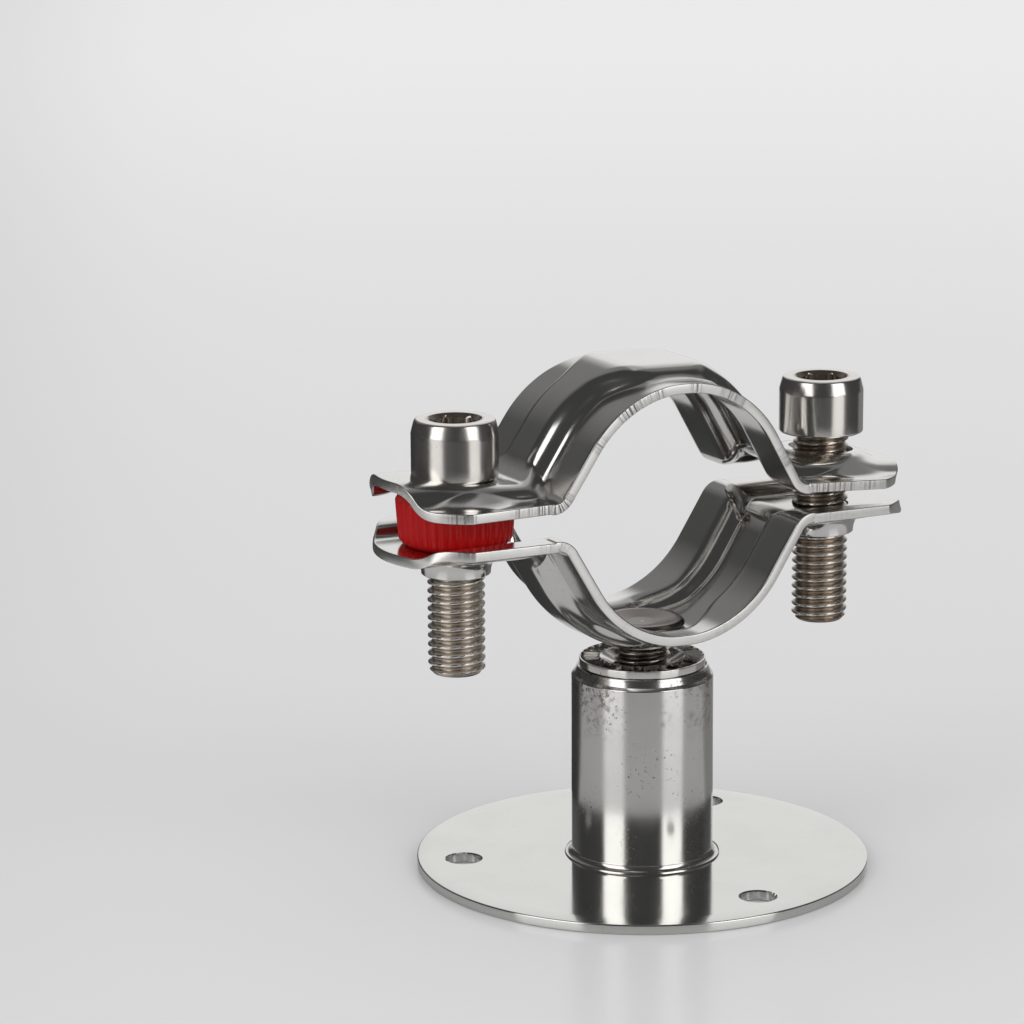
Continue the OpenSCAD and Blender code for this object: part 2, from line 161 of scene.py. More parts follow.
@dataclass
class RingBody:
    """A closed skin made of rings of points round an upright axis.

    Attributes:
        steps: Points on each ring.
        rings: The rings, in order along the skin.
        grooves: For each ring, the share of painted shade at each point, from 0 to 1: how deep the point
            lies in a thread's grooves, or a share set for other hollows.
    """

    steps: int
    rings: list[list[Point]] = field(default_factory=list)
    grooves: list[list[float]] = field(default_factory=list)

    def angles(self) -> list[float]:
        """Returns the angle of each point on a ring."""
        return [2 * math.pi * index / self.steps for index in range(self.steps)]

    def circle(self, radius: float, z: float) -> None:
        """Adds a round ring."""
        self.shaped(lambda _: radius, lambda _: z)

    def shaped(self, radius_of: Callable[[float], float], z_of: Callable[[float], float]) -> None:
        """Adds a ring whose radius and height change with the angle.

        Args:
            radius_of: Gives the radius at an angle.
            z_of: Gives the height at an angle.
        """
        turns = [(a, radius_of(a)) for a in self.angles()]
        self.rings.append([(r * math.cos(a), r * math.sin(a), z_of(a)) for a, r in turns])
        self.grooves.append([0.0] * self.steps)

    def outline(self, outline: Sequence[Flat]) -> None:
        """Adds a round ring for each point of an outline."""
        for radius, z in outline:
            self.circle(radius, z)

    def thread(self, thread: "Thread", bottom: float, top: float, tip: float) -> None:
        """Adds the rings of a thread, from its bottom up.

        Args:
            thread: The thread's form.
            bottom: Height of the end.
            top: Height where the thread stops.
            tip: Radius at the chamfered end, which widens at 45 degrees.
        """
        rows = max(2, round((top - bottom) / thread.pitch * thread.rows_per_turn))
        for row in range(rows + 1):
            z = between(bottom, top, row / rows)
            radii = [min(thread.radius(a, z), tip + z - bottom) for a in self.angles()]
            self.rings.append([(r * math.cos(a), r * math.sin(a), z) for a, r in zip(self.angles(), radii)])
            self.grooves.append([thread.depth(r) for r in radii])

    def skin(self, looped: bool) -> tuple[list[Point], Faces, list[float]]:
        """Joins the rings.

        Args:
            looped: True if the last ring meets the first, and false if each end closes on the axis.

        Returns:
            The points, the faces and the groove depth of each point.
        """
        points = [point for ring in self.rings for point in ring]
        depths = [depth for ring in self.grooves for depth in ring]
        count = self.steps
        faces: Faces = []
        pairs = len(self.rings) if looped else len(self.rings) - 1
        for ring in range(pairs):
            low = ring * count
            high = (ring + 1) % len(self.rings) * count
            for index in range(count):
                after = (index + 1) % count
                faces.append((low + index, low + after, high + after, high + index))
        if not looped:
            for start, flip in ((0, True), ((len(self.rings) - 1) * count, False)):
                middle = len(points)
                height = sum(point[2] for point in points[start:start + count]) / count
                points.append((0.0, 0.0, height))
                depths.append(0.0)
                for index in range(count):
                    after = start + (index + 1) % count
                    face = (start + index, after, middle)
                    faces.append(face[::-1] if flip else face)
        return points, faces, depths

    def turned(self, turn: float) -> None:
        """Turns the rings round the axis by an angle in degrees."""
        matrix = Matrix.Rotation(math.radians(turn), 3, "Z")
        self.rings = [[tuple(matrix @ Vector(point)) for point in ring] for ring in self.rings]

    def piece(self, name: str, looped: bool, limit: float, at: Point = (0.0, 0.0, 0.0)) -> bpy.types.Object:
        """Makes an object of the skin, with smooth shading and the share of painted shade at each point.

        Args:
            name: Name of the object.
            looped: True if the last ring meets the first, and false if each end closes on the axis.
            limit: Turn in degrees from which an edge stays sharp.
            at: Where the axis stands.

        Returns:
            The object.
        """
        points, faces, depths = self.skin(looped)
        made = mesh_object(name, moved(points, at), faces)
        # Stores each point's share of painted shade for the finish to read.
        if any(depths):
            paint_points(made, "groove", depths)
        smooth(made, limit)
        return made


@dataclass(frozen=True)
class Thread:
    """A right-hand metric thread, with its sizes in millimetres."""

    crest: float = 3.94
    root: float = 3.34
    pitch: float = 1.25
    crest_share: float = 0.16
    root_share: float = 0.22
    roundness: float = 0.6
    rows_per_turn: int = 14

    def radius(self, angle: float, z: float) -> float:
        """Finds the radius of the thread.

        Args:
            angle: Angle round the axis.
            z: Height.

        Returns:
            The radius there.
        """
        phase = (z / self.pitch - angle / (2 * math.pi)) % 1.0
        away = abs(phase - 0.5) * 2.0
        flank = (1.0 - self.root_share - away) / (1.0 - self.root_share - self.crest_share)
        held = min(1.0, max(0.0, flank))
        return between(self.root, self.crest, between(held, ease(held), self.roundness))

    def depth(self, radius: float) -> float:
        """Returns how deep a radius lies between crest and root, from 0 at the crest to 1 at the root; this
        is also the share of painted shade there.
        """
        return min(1.0, max(0.0, (self.crest - radius) / (self.crest - self.root)))


def hexagon_radius(angle: float, flats: float) -> float:
    """Returns the radius of a hexagon, given across its flats, at an angle."""
    turn = angle % (math.pi / 3) - math.pi / 6
    return flats / 2 / math.cos(turn)


def ripple(angle: float, seed: float) -> float:
    """Returns a small smooth unevenness round a part, between about -1 and 1."""
    waves = (3, 7, 12, 19)
    return sum(math.sin(wave * angle + seed * wave) / (index + 1) for index, wave in enumerate(waves)) / 2


# Pieces in the scene


def mesh_object(name: str, points: Sequence[Sequence[float]], faces: Faces) -> bpy.types.Object:
    """Makes an object from points in millimetres.

    Args:
        name: Name of the object.
        points: Its points, in the frame's axes.
        faces: Its faces, as indices of points.

    Returns:
        The object, with its faces turned outward.
    """
    mesh = bpy.data.meshes.new(name)
    mesh.from_pydata([[value * MM for value in point] for point in points], [], faces)
    mesh.validate()
    work = bmesh.new()
    work.from_mesh(mesh)
    bmesh.ops.recalc_face_normals(work, faces=work.faces)
    work.to_mesh(mesh)
    work.free()
    piece = bpy.data.objects.new(name, mesh)
    bpy.context.scene.collection.objects.link(piece)
    return piece


def paint_points(piece: bpy.types.Object, name: str, values: Sequence[float]) -> None:
    """Stores one number for each point of a piece, which its material reads by name."""
    layer = piece.data.attributes.new(name, "FLOAT", "POINT")
    layer.data.foreach_set("value", np.array(values, np.float32))


def carve(piece: bpy.types.Object, tool: bpy.types.Object, cut: Cut) -> None:
    """Joins a tool to a piece or removes it from the piece, and deletes the tool.

    Args:
        piece: The piece, which gets the new mesh.
        tool: The second solid.
        cut: What the tool does.
    """
    modifier = piece.modifiers.new(cut.name.lower(), "BOOLEAN")
    modifier.object = tool
    modifier.operation = cut.value
    modifier.solver = "EXACT"
    settled = piece.evaluated_get(bpy.context.evaluated_depsgraph_get())
    mesh = bpy.data.meshes.new_from_object(settled)
    piece.modifiers.clear()
    piece.data = mesh
    bpy.data.objects.remove(tool)


def smooth(piece: bpy.types.Object, limit: float) -> None:
    """Shades a piece smooth, apart from its sharp edges.

    Args:
        piece: The piece.
        limit: Turn in degrees from which an edge stays sharp.
    """
    work = bmesh.new()
    work.from_mesh(piece.data)
    for face in work.faces:
        face.smooth = True
    for edge in work.edges:
        if len(edge.link_faces) == 2:
            edge.smooth = edge.calc_face_angle(0.0) < math.radians(limit)
    work.to_mesh(piece.data)
    work.free()


def dress(piece: bpy.types.Object, material: bpy.types.Material, node: str) -> None:
    """Gives a piece its finish and its place in the frame.

    Args:
        piece: The finished object.
        material: Its material.
        node: The CAD node that the piece stands for.
    """
    piece.data.materials.clear()
    piece.data.materials.append(material)
    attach(piece, BODY)
    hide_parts(node)
    LOG.info("%s: %d faces, stands for %s", piece.name, len(piece.data.polygons), node)


def node_middle(node: str) -> tuple[float, float]:
    """Returns X and Y of the middle of a CAD node, in millimetres."""
    low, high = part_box(node)
    return (low.x + high.x) / 2 / MM, (low.y + high.y) / 2 / MM


def node_heights(node: str) -> tuple[float, float]:
    """Returns the lowest and highest Z of a CAD node, in millimetres."""
    low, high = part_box(node)
    return low.z / MM, high.z / MM


def moved(points: Sequence[Point], at: Point) -> list[Point]:
    """Returns points moved by an amount along each axis."""
    return [(p[0] + at[0], p[1] + at[1], p[2] + at[2]) for p in points]


def turned_solid(name: str, outline: Sequence[Flat], at: Point, steps: int) -> bpy.types.Object:
    """Makes a round solid that a boolean step uses up.

    Args:
        name: Name of the object.
        outline: Its outline as (radius, height), from end to end.
        at: Where its axis stands.
        steps: Points round the axis.

    Returns:
        The solid.
    """
    body = RingBody(steps)
    body.outline(outline)
    points, faces, _ = body.skin(looped=False)
    return mesh_object(name, moved(points, at), faces)


# Shader effects that several finishes share


class NodeMaker:
    """Adds nodes to one node tree."""

    def __init__(self, tree: bpy.types.NodeTree) -> None:
        """Takes the tree."""
        self.tree = tree

    @staticmethod
    def emptied(owner: bpy.types.Material | bpy.types.World) -> bpy.types.NodeTree:
        """Clears the node tree of a material or a world.

        Args:
            owner: The material or the world.

        Returns:
            Its empty tree.
        """
        owner.use_nodes = True
        owner.node_tree.nodes.clear()
        return owner.node_tree

    def feed(self, socket: Socket, given: Any) -> None:
        """Feeds an input.

        Args:
            socket: The input.
            given: An output, a number, a vector, or a colour without its alpha.
        """
        if isinstance(given, Socket):
            self.tree.links.new(given, socket)
        elif socket.type == "RGBA":
            socket.default_value = (*given, 1.0)
        else:
            socket.default_value = given

    def node(self, kind: str, inputs: dict[str | int, Any] | None = None, **settings: Any) -> bpy.types.Node:
        """Adds a node.

        Args:
            kind: The node's type.
            inputs: What its inputs get, by name or number.
            settings: What its properties are set to.

        Returns:
            The node.
        """
        made = self.tree.nodes.new(kind)
        for name, value in settings.items():
            setattr(made, name, value)
        for name, given in (inputs or {}).items():
            self.feed(made.inputs[name], given)
        return made

    def maths(self, operation: str, *given: Any) -> Socket:
        """Returns the result of a math node."""
        return self.node("ShaderNodeMath", dict(enumerate(given)), operation=operation).outputs[0]

    def plus(self, base: Any, extra: Any, share: float) -> Socket:
        """Returns a value with a share of another one added."""
        return self.maths("MULTIPLY_ADD", extra, share, base)

    def noise(self, vector: Socket, scale: Any, detail: float, rough: float) -> Socket:
        """Returns the value of a noise texture."""
        inputs = {"Vector": vector, "Scale": scale, "Detail": detail, "Roughness": rough}
        return self.node("ShaderNodeTexNoise", inputs).outputs["Fac"]

    def ramp(self, given: Any, low: Any, high: Any) -> Socket:
        """Returns a value that rises smoothly from 0 to 1 while the given one goes from low to high."""
        inputs = {"Value": given, "From Min": low, "From Max": high}
        return self.node("ShaderNodeMapRange", inputs, interpolation_type="SMOOTHSTEP").outputs["Result"]

    def blend(self, share: Any, first: Any, second: Any) -> Socket:
        """Returns the mix of two colours."""
        return self.node("ShaderNodeMix", {0: share, 6: first, 7: second}, data_type="RGBA").outputs[2]

    def painted(self, name: str) -> Socket:
        """Returns the numbers that a piece stores for its points under a name."""
        return self.node("ShaderNodeAttribute", attribute_name=name).outputs["Fac"]

    def place(self, stretch: Point = (1.0, 1.0, 1.0)) -> Socket:
        """Returns the piece's own coordinates, stretched along its axes."""
        where = self.node("ShaderNodeTexCoord").outputs["Object"]
        return self.node("ShaderNodeMapping", {"Vector": where, "Scale": stretch}).outputs["Vector"]


class GroupMaker(NodeMaker):
    """Builds one shader node group with named number inputs and outputs."""

    def __init__(self, name: str, takes: dict[str, float], gives: Sequence[str]) -> None:
        """Makes the group with its sockets.

        Args:
            name: Name of the group.
            takes: Its inputs, each with its usual value.
            gives: Its outputs.
        """
        super().__init__(bpy.data.node_groups.new(name, "ShaderNodeTree"))
        for label, value in takes.items():
            socket = self.tree.interface.new_socket(label, in_out="INPUT", socket_type="NodeSocketFloat")
            socket.default_value = value
        for label in gives:
            self.tree.interface.new_socket(label, in_out="OUTPUT", socket_type="NodeSocketFloat")
        self.source = self.node("NodeGroupInput")
        self.sink = self.node("NodeGroupOutput")

    def taken(self, name: str) -> Socket:
        """Returns one of the group's inputs."""
        return self.source.outputs[name]

    def give(self, name: str, value: Socket) -> None:
        """Feeds one of the group's outputs."""
        self.feed(self.sink.inputs[name], value)


def polish_group() -> bpy.types.NodeTree:
    """Builds the unevenness of polished steel: pressing waves, fine grain, smudges and pits.

    Returns:
        The group.
    """
    takes = {"Wave Scale": 160.0, "Grain Scale": 2600.0, "Smudge": 0.06, "Pits": 0.3}
    group = GroupMaker("polished_surface", takes, ("Tint", "Roughness", "Wave", "Grain"))
    place = group.place()
    speck = group.ramp(group.noise(place, 2300.0, 3.0, 0.6), 0.62, 0.68)
    patch = group.ramp(group.noise(place, 120.0, 2.0, 0.5), 0.46, 0.62)
    pit = group.maths("MULTIPLY", group.maths("MULTIPLY", speck, patch), group.taken("Pits"))
    cloud = group.ramp(group.noise(place, 95.0, 4.0, 0.6), 0.4, 0.72)
    smudge = group.maths("MULTIPLY", cloud, group.taken("Smudge"))
    group.give("Tint", group.maths("SUBTRACT", 1.0, group.plus(pit, smudge, 0.8)))
    group.give("Roughness", group.plus(smudge, pit, 0.4))
    group.give("Wave", group.noise(place, group.taken("Wave Scale"), 2.0, 0.4))
    group.give("Grain", group.noise(place, group.taken("Grain Scale"), 3.0, 0.6))
    return group.tree


def drawn_group() -> bpy.types.NodeTree:
    """Builds fine lines along the axis of a drawn tube or a turned head.

    Returns:
        The group.
    """
    group = GroupMaker("drawn_lines", {"Line Scale": 900.0}, ("Lines",))
    place = group.place((1.0, 1.0, 0.02))
    fine = group.noise(place, group.taken("Line Scale"), 4.0, 0.7)
    wide = group.noise(place, 260.0, 2.0, 0.5)
    group.give("Lines", group.plus(group.maths("MULTIPLY", fine, 0.6), wide, 0.4))
    return group.tree


def shear_group() -> bpy.types.NodeTree:
    """Builds the torn ticks across a sheared edge.

    Returns:
        The group.
    """
    group = GroupMaker("sheared_edge", {"Tick Scale": 2.6}, ("Edge", "Ticks"))
    edge = group.painted("sheared")
    line = group.node("ShaderNodeCombineXYZ", {"X": group.painted("along")}).outputs["Vector"]
    tick = group.ramp(group.noise(line, group.taken("Tick Scale"), 5.0, 0.75), 0.5, 0.6)
    zone = group.ramp(group.noise(line, 0.12, 1.0, 0.5), 0.47, 0.6)
    group.give("Edge", edge)
    group.give("Ticks", group.maths("MULTIPLY", group.maths("MULTIPLY", tick, zone), edge))
    return group.tree


def stain_group() -> bpy.types.NodeTree:
    """Builds a mottled stain that grows towards the top of a piece.

    Returns:
        The group.
    """
    group = GroupMaker("heat_stain", {"From": 0.018}, ("Stain",))
    where = group.node("ShaderNodeTexCoord").outputs["Object"]
    up = group.node("ShaderNodeSeparateXYZ", {"Vector": where}).outputs["Z"]
    height = group.ramp(up, group.taken("From"), group.maths("ADD", group.taken("From"), 0.009))
    patch = group.ramp(group.noise(where, 150.0, 3.0, 0.6), 0.5, 0.62)
    mottle = group.ramp(group.noise(where, 1300.0, 4.0, 0.7), 0.45, 0.62)
    mask = group.maths("MULTIPLY", group.maths("MULTIPLY", patch, mottle), height)
    group.give("Stain", group.maths("MULTIPLY", mask, 0.8))
    return group.tree


@dataclass
class Effects:
    """The shader groups that the finishes share."""

    polish: bpy.types.NodeTree
    drawn: bpy.types.NodeTree
    shear: bpy.types.NodeTree
    stain: bpy.types.NodeTree

    @staticmethod
    def build() -> "Effects":
        """Builds each group once."""
        return Effects(polish_group(), drawn_group(), shear_group(), stain_group())


class MaterialMaker(NodeMaker):
    """Builds one material round a Principled shader."""

    def __init__(self, name: str) -> None:
        """Makes the material with its shader and output.

        Args:
            name: Name of the material.
        """
        self.material = bpy.data.materials.new(name)
        super().__init__(self.emptied(self.material))
        self.shader = self.node("ShaderNodeBsdfPrincipled")
        self.node("ShaderNodeOutputMaterial", {"Surface": self.shader.outputs["BSDF"]})

    def group(self, tree: bpy.types.NodeTree, **values: float) -> bpy.types.bpy_prop_collection:
        """Adds a shared effect with this material's own values and returns its outputs."""
        inputs = {name.replace("_", " "): value for name, value in values.items()}
        return self.node("ShaderNodeGroup", inputs, node_tree=tree).outputs

    def shade(self, **values: Any) -> None:
        """Feeds the shader's own inputs."""
        for name, value in values.items():
            self.feed(self.shader.inputs[name.replace("_", " ")], value)

    def bumps(self, heights: Sequence[tuple[Socket, float]]) -> None:
        """Feeds the shader's normal from bumps.

        Args:
            heights: The heights, each with its depth in millimetres.
        """
        inputs: dict[str | int, Any] = {"Strength": 1.0}
        for height, depth in heights:
            bump = self.node("ShaderNodeBump", inputs | {"Distance": depth * MM, "Height": height})
            inputs["Normal"] = bump.outputs["Normal"]
        self.shade(Normal=inputs["Normal"])


@dataclass(frozen=True)
class SteelFinish:
    """A finish of bare stainless steel.

    Attributes:
        name: Name of the material.
        colour: Colour of the metal.
        roughness: Roughness where the surface is clean.
        waves: Height of the slow unevenness that bends reflections, in millimetres.
        grain: Height of the fine grain, in millimetres.
        lines: Height of the lines along the axis, in millimetres, or 0 for none.
        line_haze: Roughness that the lines add.
        smudge: Strength of the hazy patches.
        pits: Strength of the dark pits.
        torn: Strength of the torn ticks on sheared edges, or 0 for none.
        groove: Colour of the painted shade in a thread's grooves and other hollows, or None.
        stain_from: Height in millimetres above which the piece is stained in patches, or None.
        pit_colour: Colour of smudges and pits.
        tick_colour: Colour of the torn ticks.
        tick_h: Height of the torn ticks, in millimetres.
        stain_colour: Colour of the stains.
        edge_haze: Roughness that a sheared edge adds.
        groove_cover: How much of the painted shade's colour shows at the bottom of a thread's grooves.
        groove_haze: Roughness that the grooves add.
        stain_haze: Roughness that the stains add.
    """

    name: str
    colour: Colour
    roughness: float
    waves: float = 0.004
    grain: float = 0.0006
    lines: float = 0.0
    line_haze: float = 0.0
    smudge: float = 0.05
    pits: float = 0.25
    torn: float = 0.0
    groove: Colour | None = None
    stain_from: float | None = None
    pit_colour: Colour = (0.16, 0.14, 0.12)
    tick_colour: Colour = (0.03, 0.027, 0.024)
    tick_h: float = 0.1
    stain_colour: Colour = (0.2, 0.165, 0.14)
    edge_haze: float = 0.2
    groove_cover: float = 0.8
    groove_haze: float = 0.12
    stain_haze: float = 0.15

    def build(self, effects: Effects) -> bpy.types.Material:
        """Builds the material.

        Args:
            effects: The shared effects.

        Returns:
            The material.
        """
        maker = MaterialMaker(self.name)
        surface = maker.group(effects.polish, Smudge=self.smudge, Pits=self.pits)
        colour = maker.blend(surface["Tint"], self.pit_colour, self.colour)
        rough = maker.maths("ADD", surface["Roughness"], self.roughness)
        heights = [(surface["Wave"], self.waves), (surface["Grain"], self.grain)]
        if self.lines > 0:
            drawn = maker.group(effects.drawn)["Lines"]
            rough = maker.plus(rough, drawn, self.line_haze)
            heights.append((drawn, self.lines))
        if self.torn > 0:
            shear = maker.group(effects.shear)
            ticks = maker.maths("MULTIPLY", shear["Ticks"], self.torn)
            colour = maker.blend(ticks, colour, self.tick_colour)
            rough = maker.plus(rough, shear["Edge"], self.edge_haze)
            heights.append((ticks, self.tick_h))
        # Painted shade: the stored share darkens the colour towards the painted shade colour in thread
        # roots, serration valleys, screw sockets and on the stud's head.
        if self.groove is not None:
            depth = maker.painted("groove")
            colour = maker.blend(maker.maths("MULTIPLY", depth, self.groove_cover), colour, self.groove)
            rough = maker.plus(rough, depth, self.groove_haze)
        if self.stain_from is not None:
            stain = maker.group(effects.stain, From=self.stain_from * MM)["Stain"]
            colour = maker.blend(stain, colour, self.stain_colour)
            rough = maker.plus(rough, stain, self.stain_haze)
        maker.shade(Metallic=1.0, IOR=2.5, Base_Color=colour, Roughness=rough)
        maker.bumps(heights)
        return maker.material


@dataclass(frozen=True)
class PlasticFinish:
    """The red plastic of the spacer."""

    name: str = "red_ribbed_plastic"
    colour: Colour = (0.38, 0.001, 0.002)
    worn: Colour = (0.46, 0.006, 0.006)
    roughness: float = 0.3
    grain: float = 0.004
    lines: float = 0.03

    def build(self, effects: Effects) -> bpy.types.Material:
        """Builds the material.

        Args:
            effects: The shared effects.

        Returns:
            The material.
        """
        maker = MaterialMaker(self.name)
        surface = maker.group(effects.polish, Smudge=0.15, Pits=0.0)
        lines = maker.group(effects.drawn, Line_Scale=500.0)["Lines"]
        rough = maker.maths("ADD", surface["Roughness"], self.roughness)
        maker.shade(Metallic=0.0, IOR=1.45, Specular_IOR_Level=0.3, Roughness=rough,
                    Base_Color=maker.blend(lines, self.colour, self.worn))
        maker.bumps([(surface["Grain"], self.grain), (lines, self.lines)])
        return maker.material


# The bracket


@dataclass
class Foot:
    """The round foot plate, the sleeve on it and the weld between them, in millimetres."""

    plate_rim: float = 0.22
    plate_edge_fall: float = 0.1
    plate_edge_run: float = 2.6
    plate_edge_round: float = 6.0
    hole_d: float = 5.0
    hole_circle_d: float = 51.0
    hole_count: int = 3
    hole_start: float = 158.0
    hole_break: float = 0.18
    sleeve_wall: float = 1.0
    shoulder_h: float = 1.0
    shoulder_in: float = 0.9
    nut_bore: float = 7.7
    lip_h: float = 0.45
    lip_r: float = 9.02
    unevenness: float = 0.07
    weld_leg: float = 1.0
    weld_hollow: float = 0.8
    weld_rise: float = 0.1
    weld_lip: tuple[Flat, ...] = ((0.88, 0.19), (0.93, 0.22), (0.98, 0.16), (1.0, 0.0))
    weld_waves: Flat = (0.06, 0.03)
    weld_rows: int = 6
    weld_steps: int = 360
    steps: int = 240
    hole_steps: int = 72

    def plate(self) -> bpy.types.Object:
        """Builds the plate with its rounded rims and its drilled holes.

        Returns:
            The plate.
        """
        bottom, top = node_heights("base_plate")
        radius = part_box("base_plate")[1].x / MM
        core = radius - self.plate_edge_round
        fall = top - self.plate_edge_fall
        body = RingBody(self.steps)
        body.outline(rounded([
            (core, bottom, 0), (radius, bottom, self.plate_rim), (radius, fall, self.plate_rim),
            (radius - self.plate_edge_run, top, self.plate_edge_round), (core, top, 0),
        ]))
        plate = body.piece("foot_plate", looped=False, limit=40)
        hole_r = self.hole_d / 2
        wide = hole_r + 2 * self.hole_break
        outline = [(wide, bottom - self.hole_break), (hole_r, bottom + self.hole_break),
                   (hole_r, top - self.hole_break), (wide, top + self.hole_break)]
        reach = self.hole_circle_d / 2
        for index in range(self.hole_count):
            turn = math.radians(self.hole_start + index * 360 / self.hole_count)
            at = (reach * math.cos(turn), reach * math.sin(turn), 0.0)
            carve(plate, turned_solid("hole_tool", outline, at, self.hole_steps), Cut.REMOVE)
        smooth(plate, 40)
        return plate

    def sleeve(self) -> bpy.types.Object:
        """Builds the tube with the shoulder that is rolled in under the nut.

        Returns:
            The sleeve.
        """
        bottom, top = node_heights("sleeve")
        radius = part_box("sleeve")[1].x / MM
        bore = radius - self.sleeve_wall
        shoulder = top - self.shoulder_h
        body = RingBody(self.steps)
        body.outline(rounded([
            (bore, bottom, 0), (radius, bottom, 0.05), (radius, shoulder, 0.25),
            (radius - 0.42 * self.shoulder_in, shoulder + 0.42 * self.shoulder_h, 0.3),
            (self.lip_r + 0.3, top + 0.1, 0.2), (self.lip_r + 0.2, top + self.lip_h, 0.1),
            (self.lip_r, top + self.lip_h, 0.08), (self.lip_r - 0.05, top, 0), (self.nut_bore, top, 0.1),
            (self.nut_bore, top - self.sleeve_wall, 0.1), (bore, shoulder - self.sleeve_wall, 0),
        ]))
        for ring in body.rings:
            uneven = self.unevenness * ease((ring[0][2] - shoulder) / 0.3)
            for index, (x, y, z) in enumerate(ring):
                swell = 1 + uneven * ripple(math.atan2(y, x), 2.0 + z / 9) / radius
                ring[index] = (x * swell, y * swell, z)
        return body.piece("sleeve_tube", looped=True, limit=40)

    def weld(self) -> bpy.types.Object:
        """Builds the thin bead between plate and sleeve, with an uneven toe.

        Returns:
            The bead.
        """
        bottom, _ = node_heights("foot_weld")
        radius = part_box("sleeve")[1].x / MM
        leg = self.weld_leg
        line: list[Flat] = []
        for step in range(self.weld_rows + 1):
            share = step / self.weld_rows
            turn = math.pi / 2 * share
            out = self.weld_hollow * leg * (1 - math.cos(turn))
            line.append((radius + out, bottom + leg * (1 - math.sin(turn)) + self.weld_rise * share))
        line += [(radius + leg * out, bottom + leg * up) for out, up in self.weld_lip]
        body = RingBody(self.weld_steps)
        for index, (out, up) in enumerate(line):
            wave_out, wave_up = self.weld_waves if 0 < index < len(line) - 1 else (0.0, 0.0)
            toe = wave_out * (out - radius) / leg
            body.shaped(lambda a, out=out, toe=toe: out + toe * (ripple(a, 1.0) - 0.5),
                        lambda a, up=up, wave=wave_up: up + wave * ripple(a, 4.0))
        body.circle(radius, bottom)
        return body.piece("weld_bead", looped=True, limit=60)

    def build(self, effects: Effects) -> None:
        """Builds and dresses the plate, the sleeve and the weld.

        Args:
            effects: The shared effects.
        """
        plate_steel = SteelFinish("foot_plate_steel", (0.775, 0.775, 0.745), 0.1, waves=0.002, pits=0.1)
        sleeve_steel = SteelFinish("sleeve_steel", (0.74, 0.73, 0.71), 0.12, waves=0.004, lines=0.004,
                                   line_haze=0.1, pits=0.7, stain_from=18.0)
        weld_steel = SteelFinish("weld_bead_steel", (0.74, 0.72, 0.69), 0.14, waves=0.02, pits=0.4)
        dress(self.plate(), plate_steel.build(effects), "base_plate")
        dress(self.sleeve(), sleeve_steel.build(effects), "sleeve")
        dress(self.weld(), weld_steel.build(effects), "foot_weld")


@dataclass
class FlangeNut:
    """The serrated flange nut in the top of the sleeve, in millimetres."""

    flange_t: float = 1.6
    rim: float = 0.7
    flats: float = 13.0
    hex_chamfer_h: float = 0.7
    hex_corner_r: float = 7.52
    bore_r: float = 4.05
    sink_r: float = 5.9
    sink_h: float = 1.2
    teeth: int = 34
    tooth_h: float = 0.6
    tooth_steps: int = 12
    tooth_rows: int = 8
    tooth_steep: float = 0.34
    tooth_out: float = 8.7

    def tooth(self, angle: float) -> float:
        """Returns how deep the serrations are at an angle, from 0 to 1."""
        phase = angle / (2 * math.pi) * self.teeth % 1.0
        return min(phase / self.tooth_steep, (1.0 - phase) / (1.0 - self.tooth_steep))

    def build(self, effects: Effects) -> None:
        """Builds and dresses the nut.

        Args:
            effects: The shared effects.
        """
        low, top = node_heights("flange_nut")
        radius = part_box("flange_nut")[1].x / MM
        seat = top - self.flange_t
        body = RingBody(self.teeth * self.tooth_steps)
        body.outline([(self.bore_r, low), (self.bore_r, top - self.sink_h),
                      (self.sink_r - 0.1, top - 0.14), (self.sink_r, top - 0.04)])
        # Painted shade in the serration valleys: the deeper a point lies in a valley, the larger its share
        # of the dark painted shade colour.
        hollow_shade_share = [min(1.0, 1.7 * self.tooth(a) ** 1.4) for a in body.angles()]
        for row in range(self.tooth_rows + 1):
            share = row / self.tooth_rows
            out = between(self.sink_r + 0.08, self.tooth_out, share)
            deep = self.tooth_h * min(1.0, 6 * share) * min(1.0, 6 * (1 - share))
            body.shaped(lambda _, out=out: out, lambda a, deep=deep: top - self.tooth(a) * deep)
            body.grooves[-1] = hollow_shade_share
        body.outline(rounded([
            (self.tooth_out, top, 0), (radius, top, self.rim), (radius, seat, self.rim),
            (self.hex_corner_r, seat, 0),
        ]))
        hexagon = partial(hexagon_radius, flats=self.flats)
        body.shaped(hexagon, lambda _: seat)
        body.shaped(hexagon, lambda _: low + self.hex_chamfer_h)
        body.shaped(lambda a: min(hexagon(a), self.flats / 2), lambda _: low)
        nut = body.piece("serrated_flange_nut", looped=True, limit=24)
        # The nut's painted shade colour is near black, for the serration valleys.
        steel = SteelFinish("nut_steel", (0.76, 0.74, 0.71), 0.1, waves=0.03, pits=0.4,
                            groove=(0.05, 0.042, 0.036))
        dress(nut, steel.build(effects), "flange_nut")


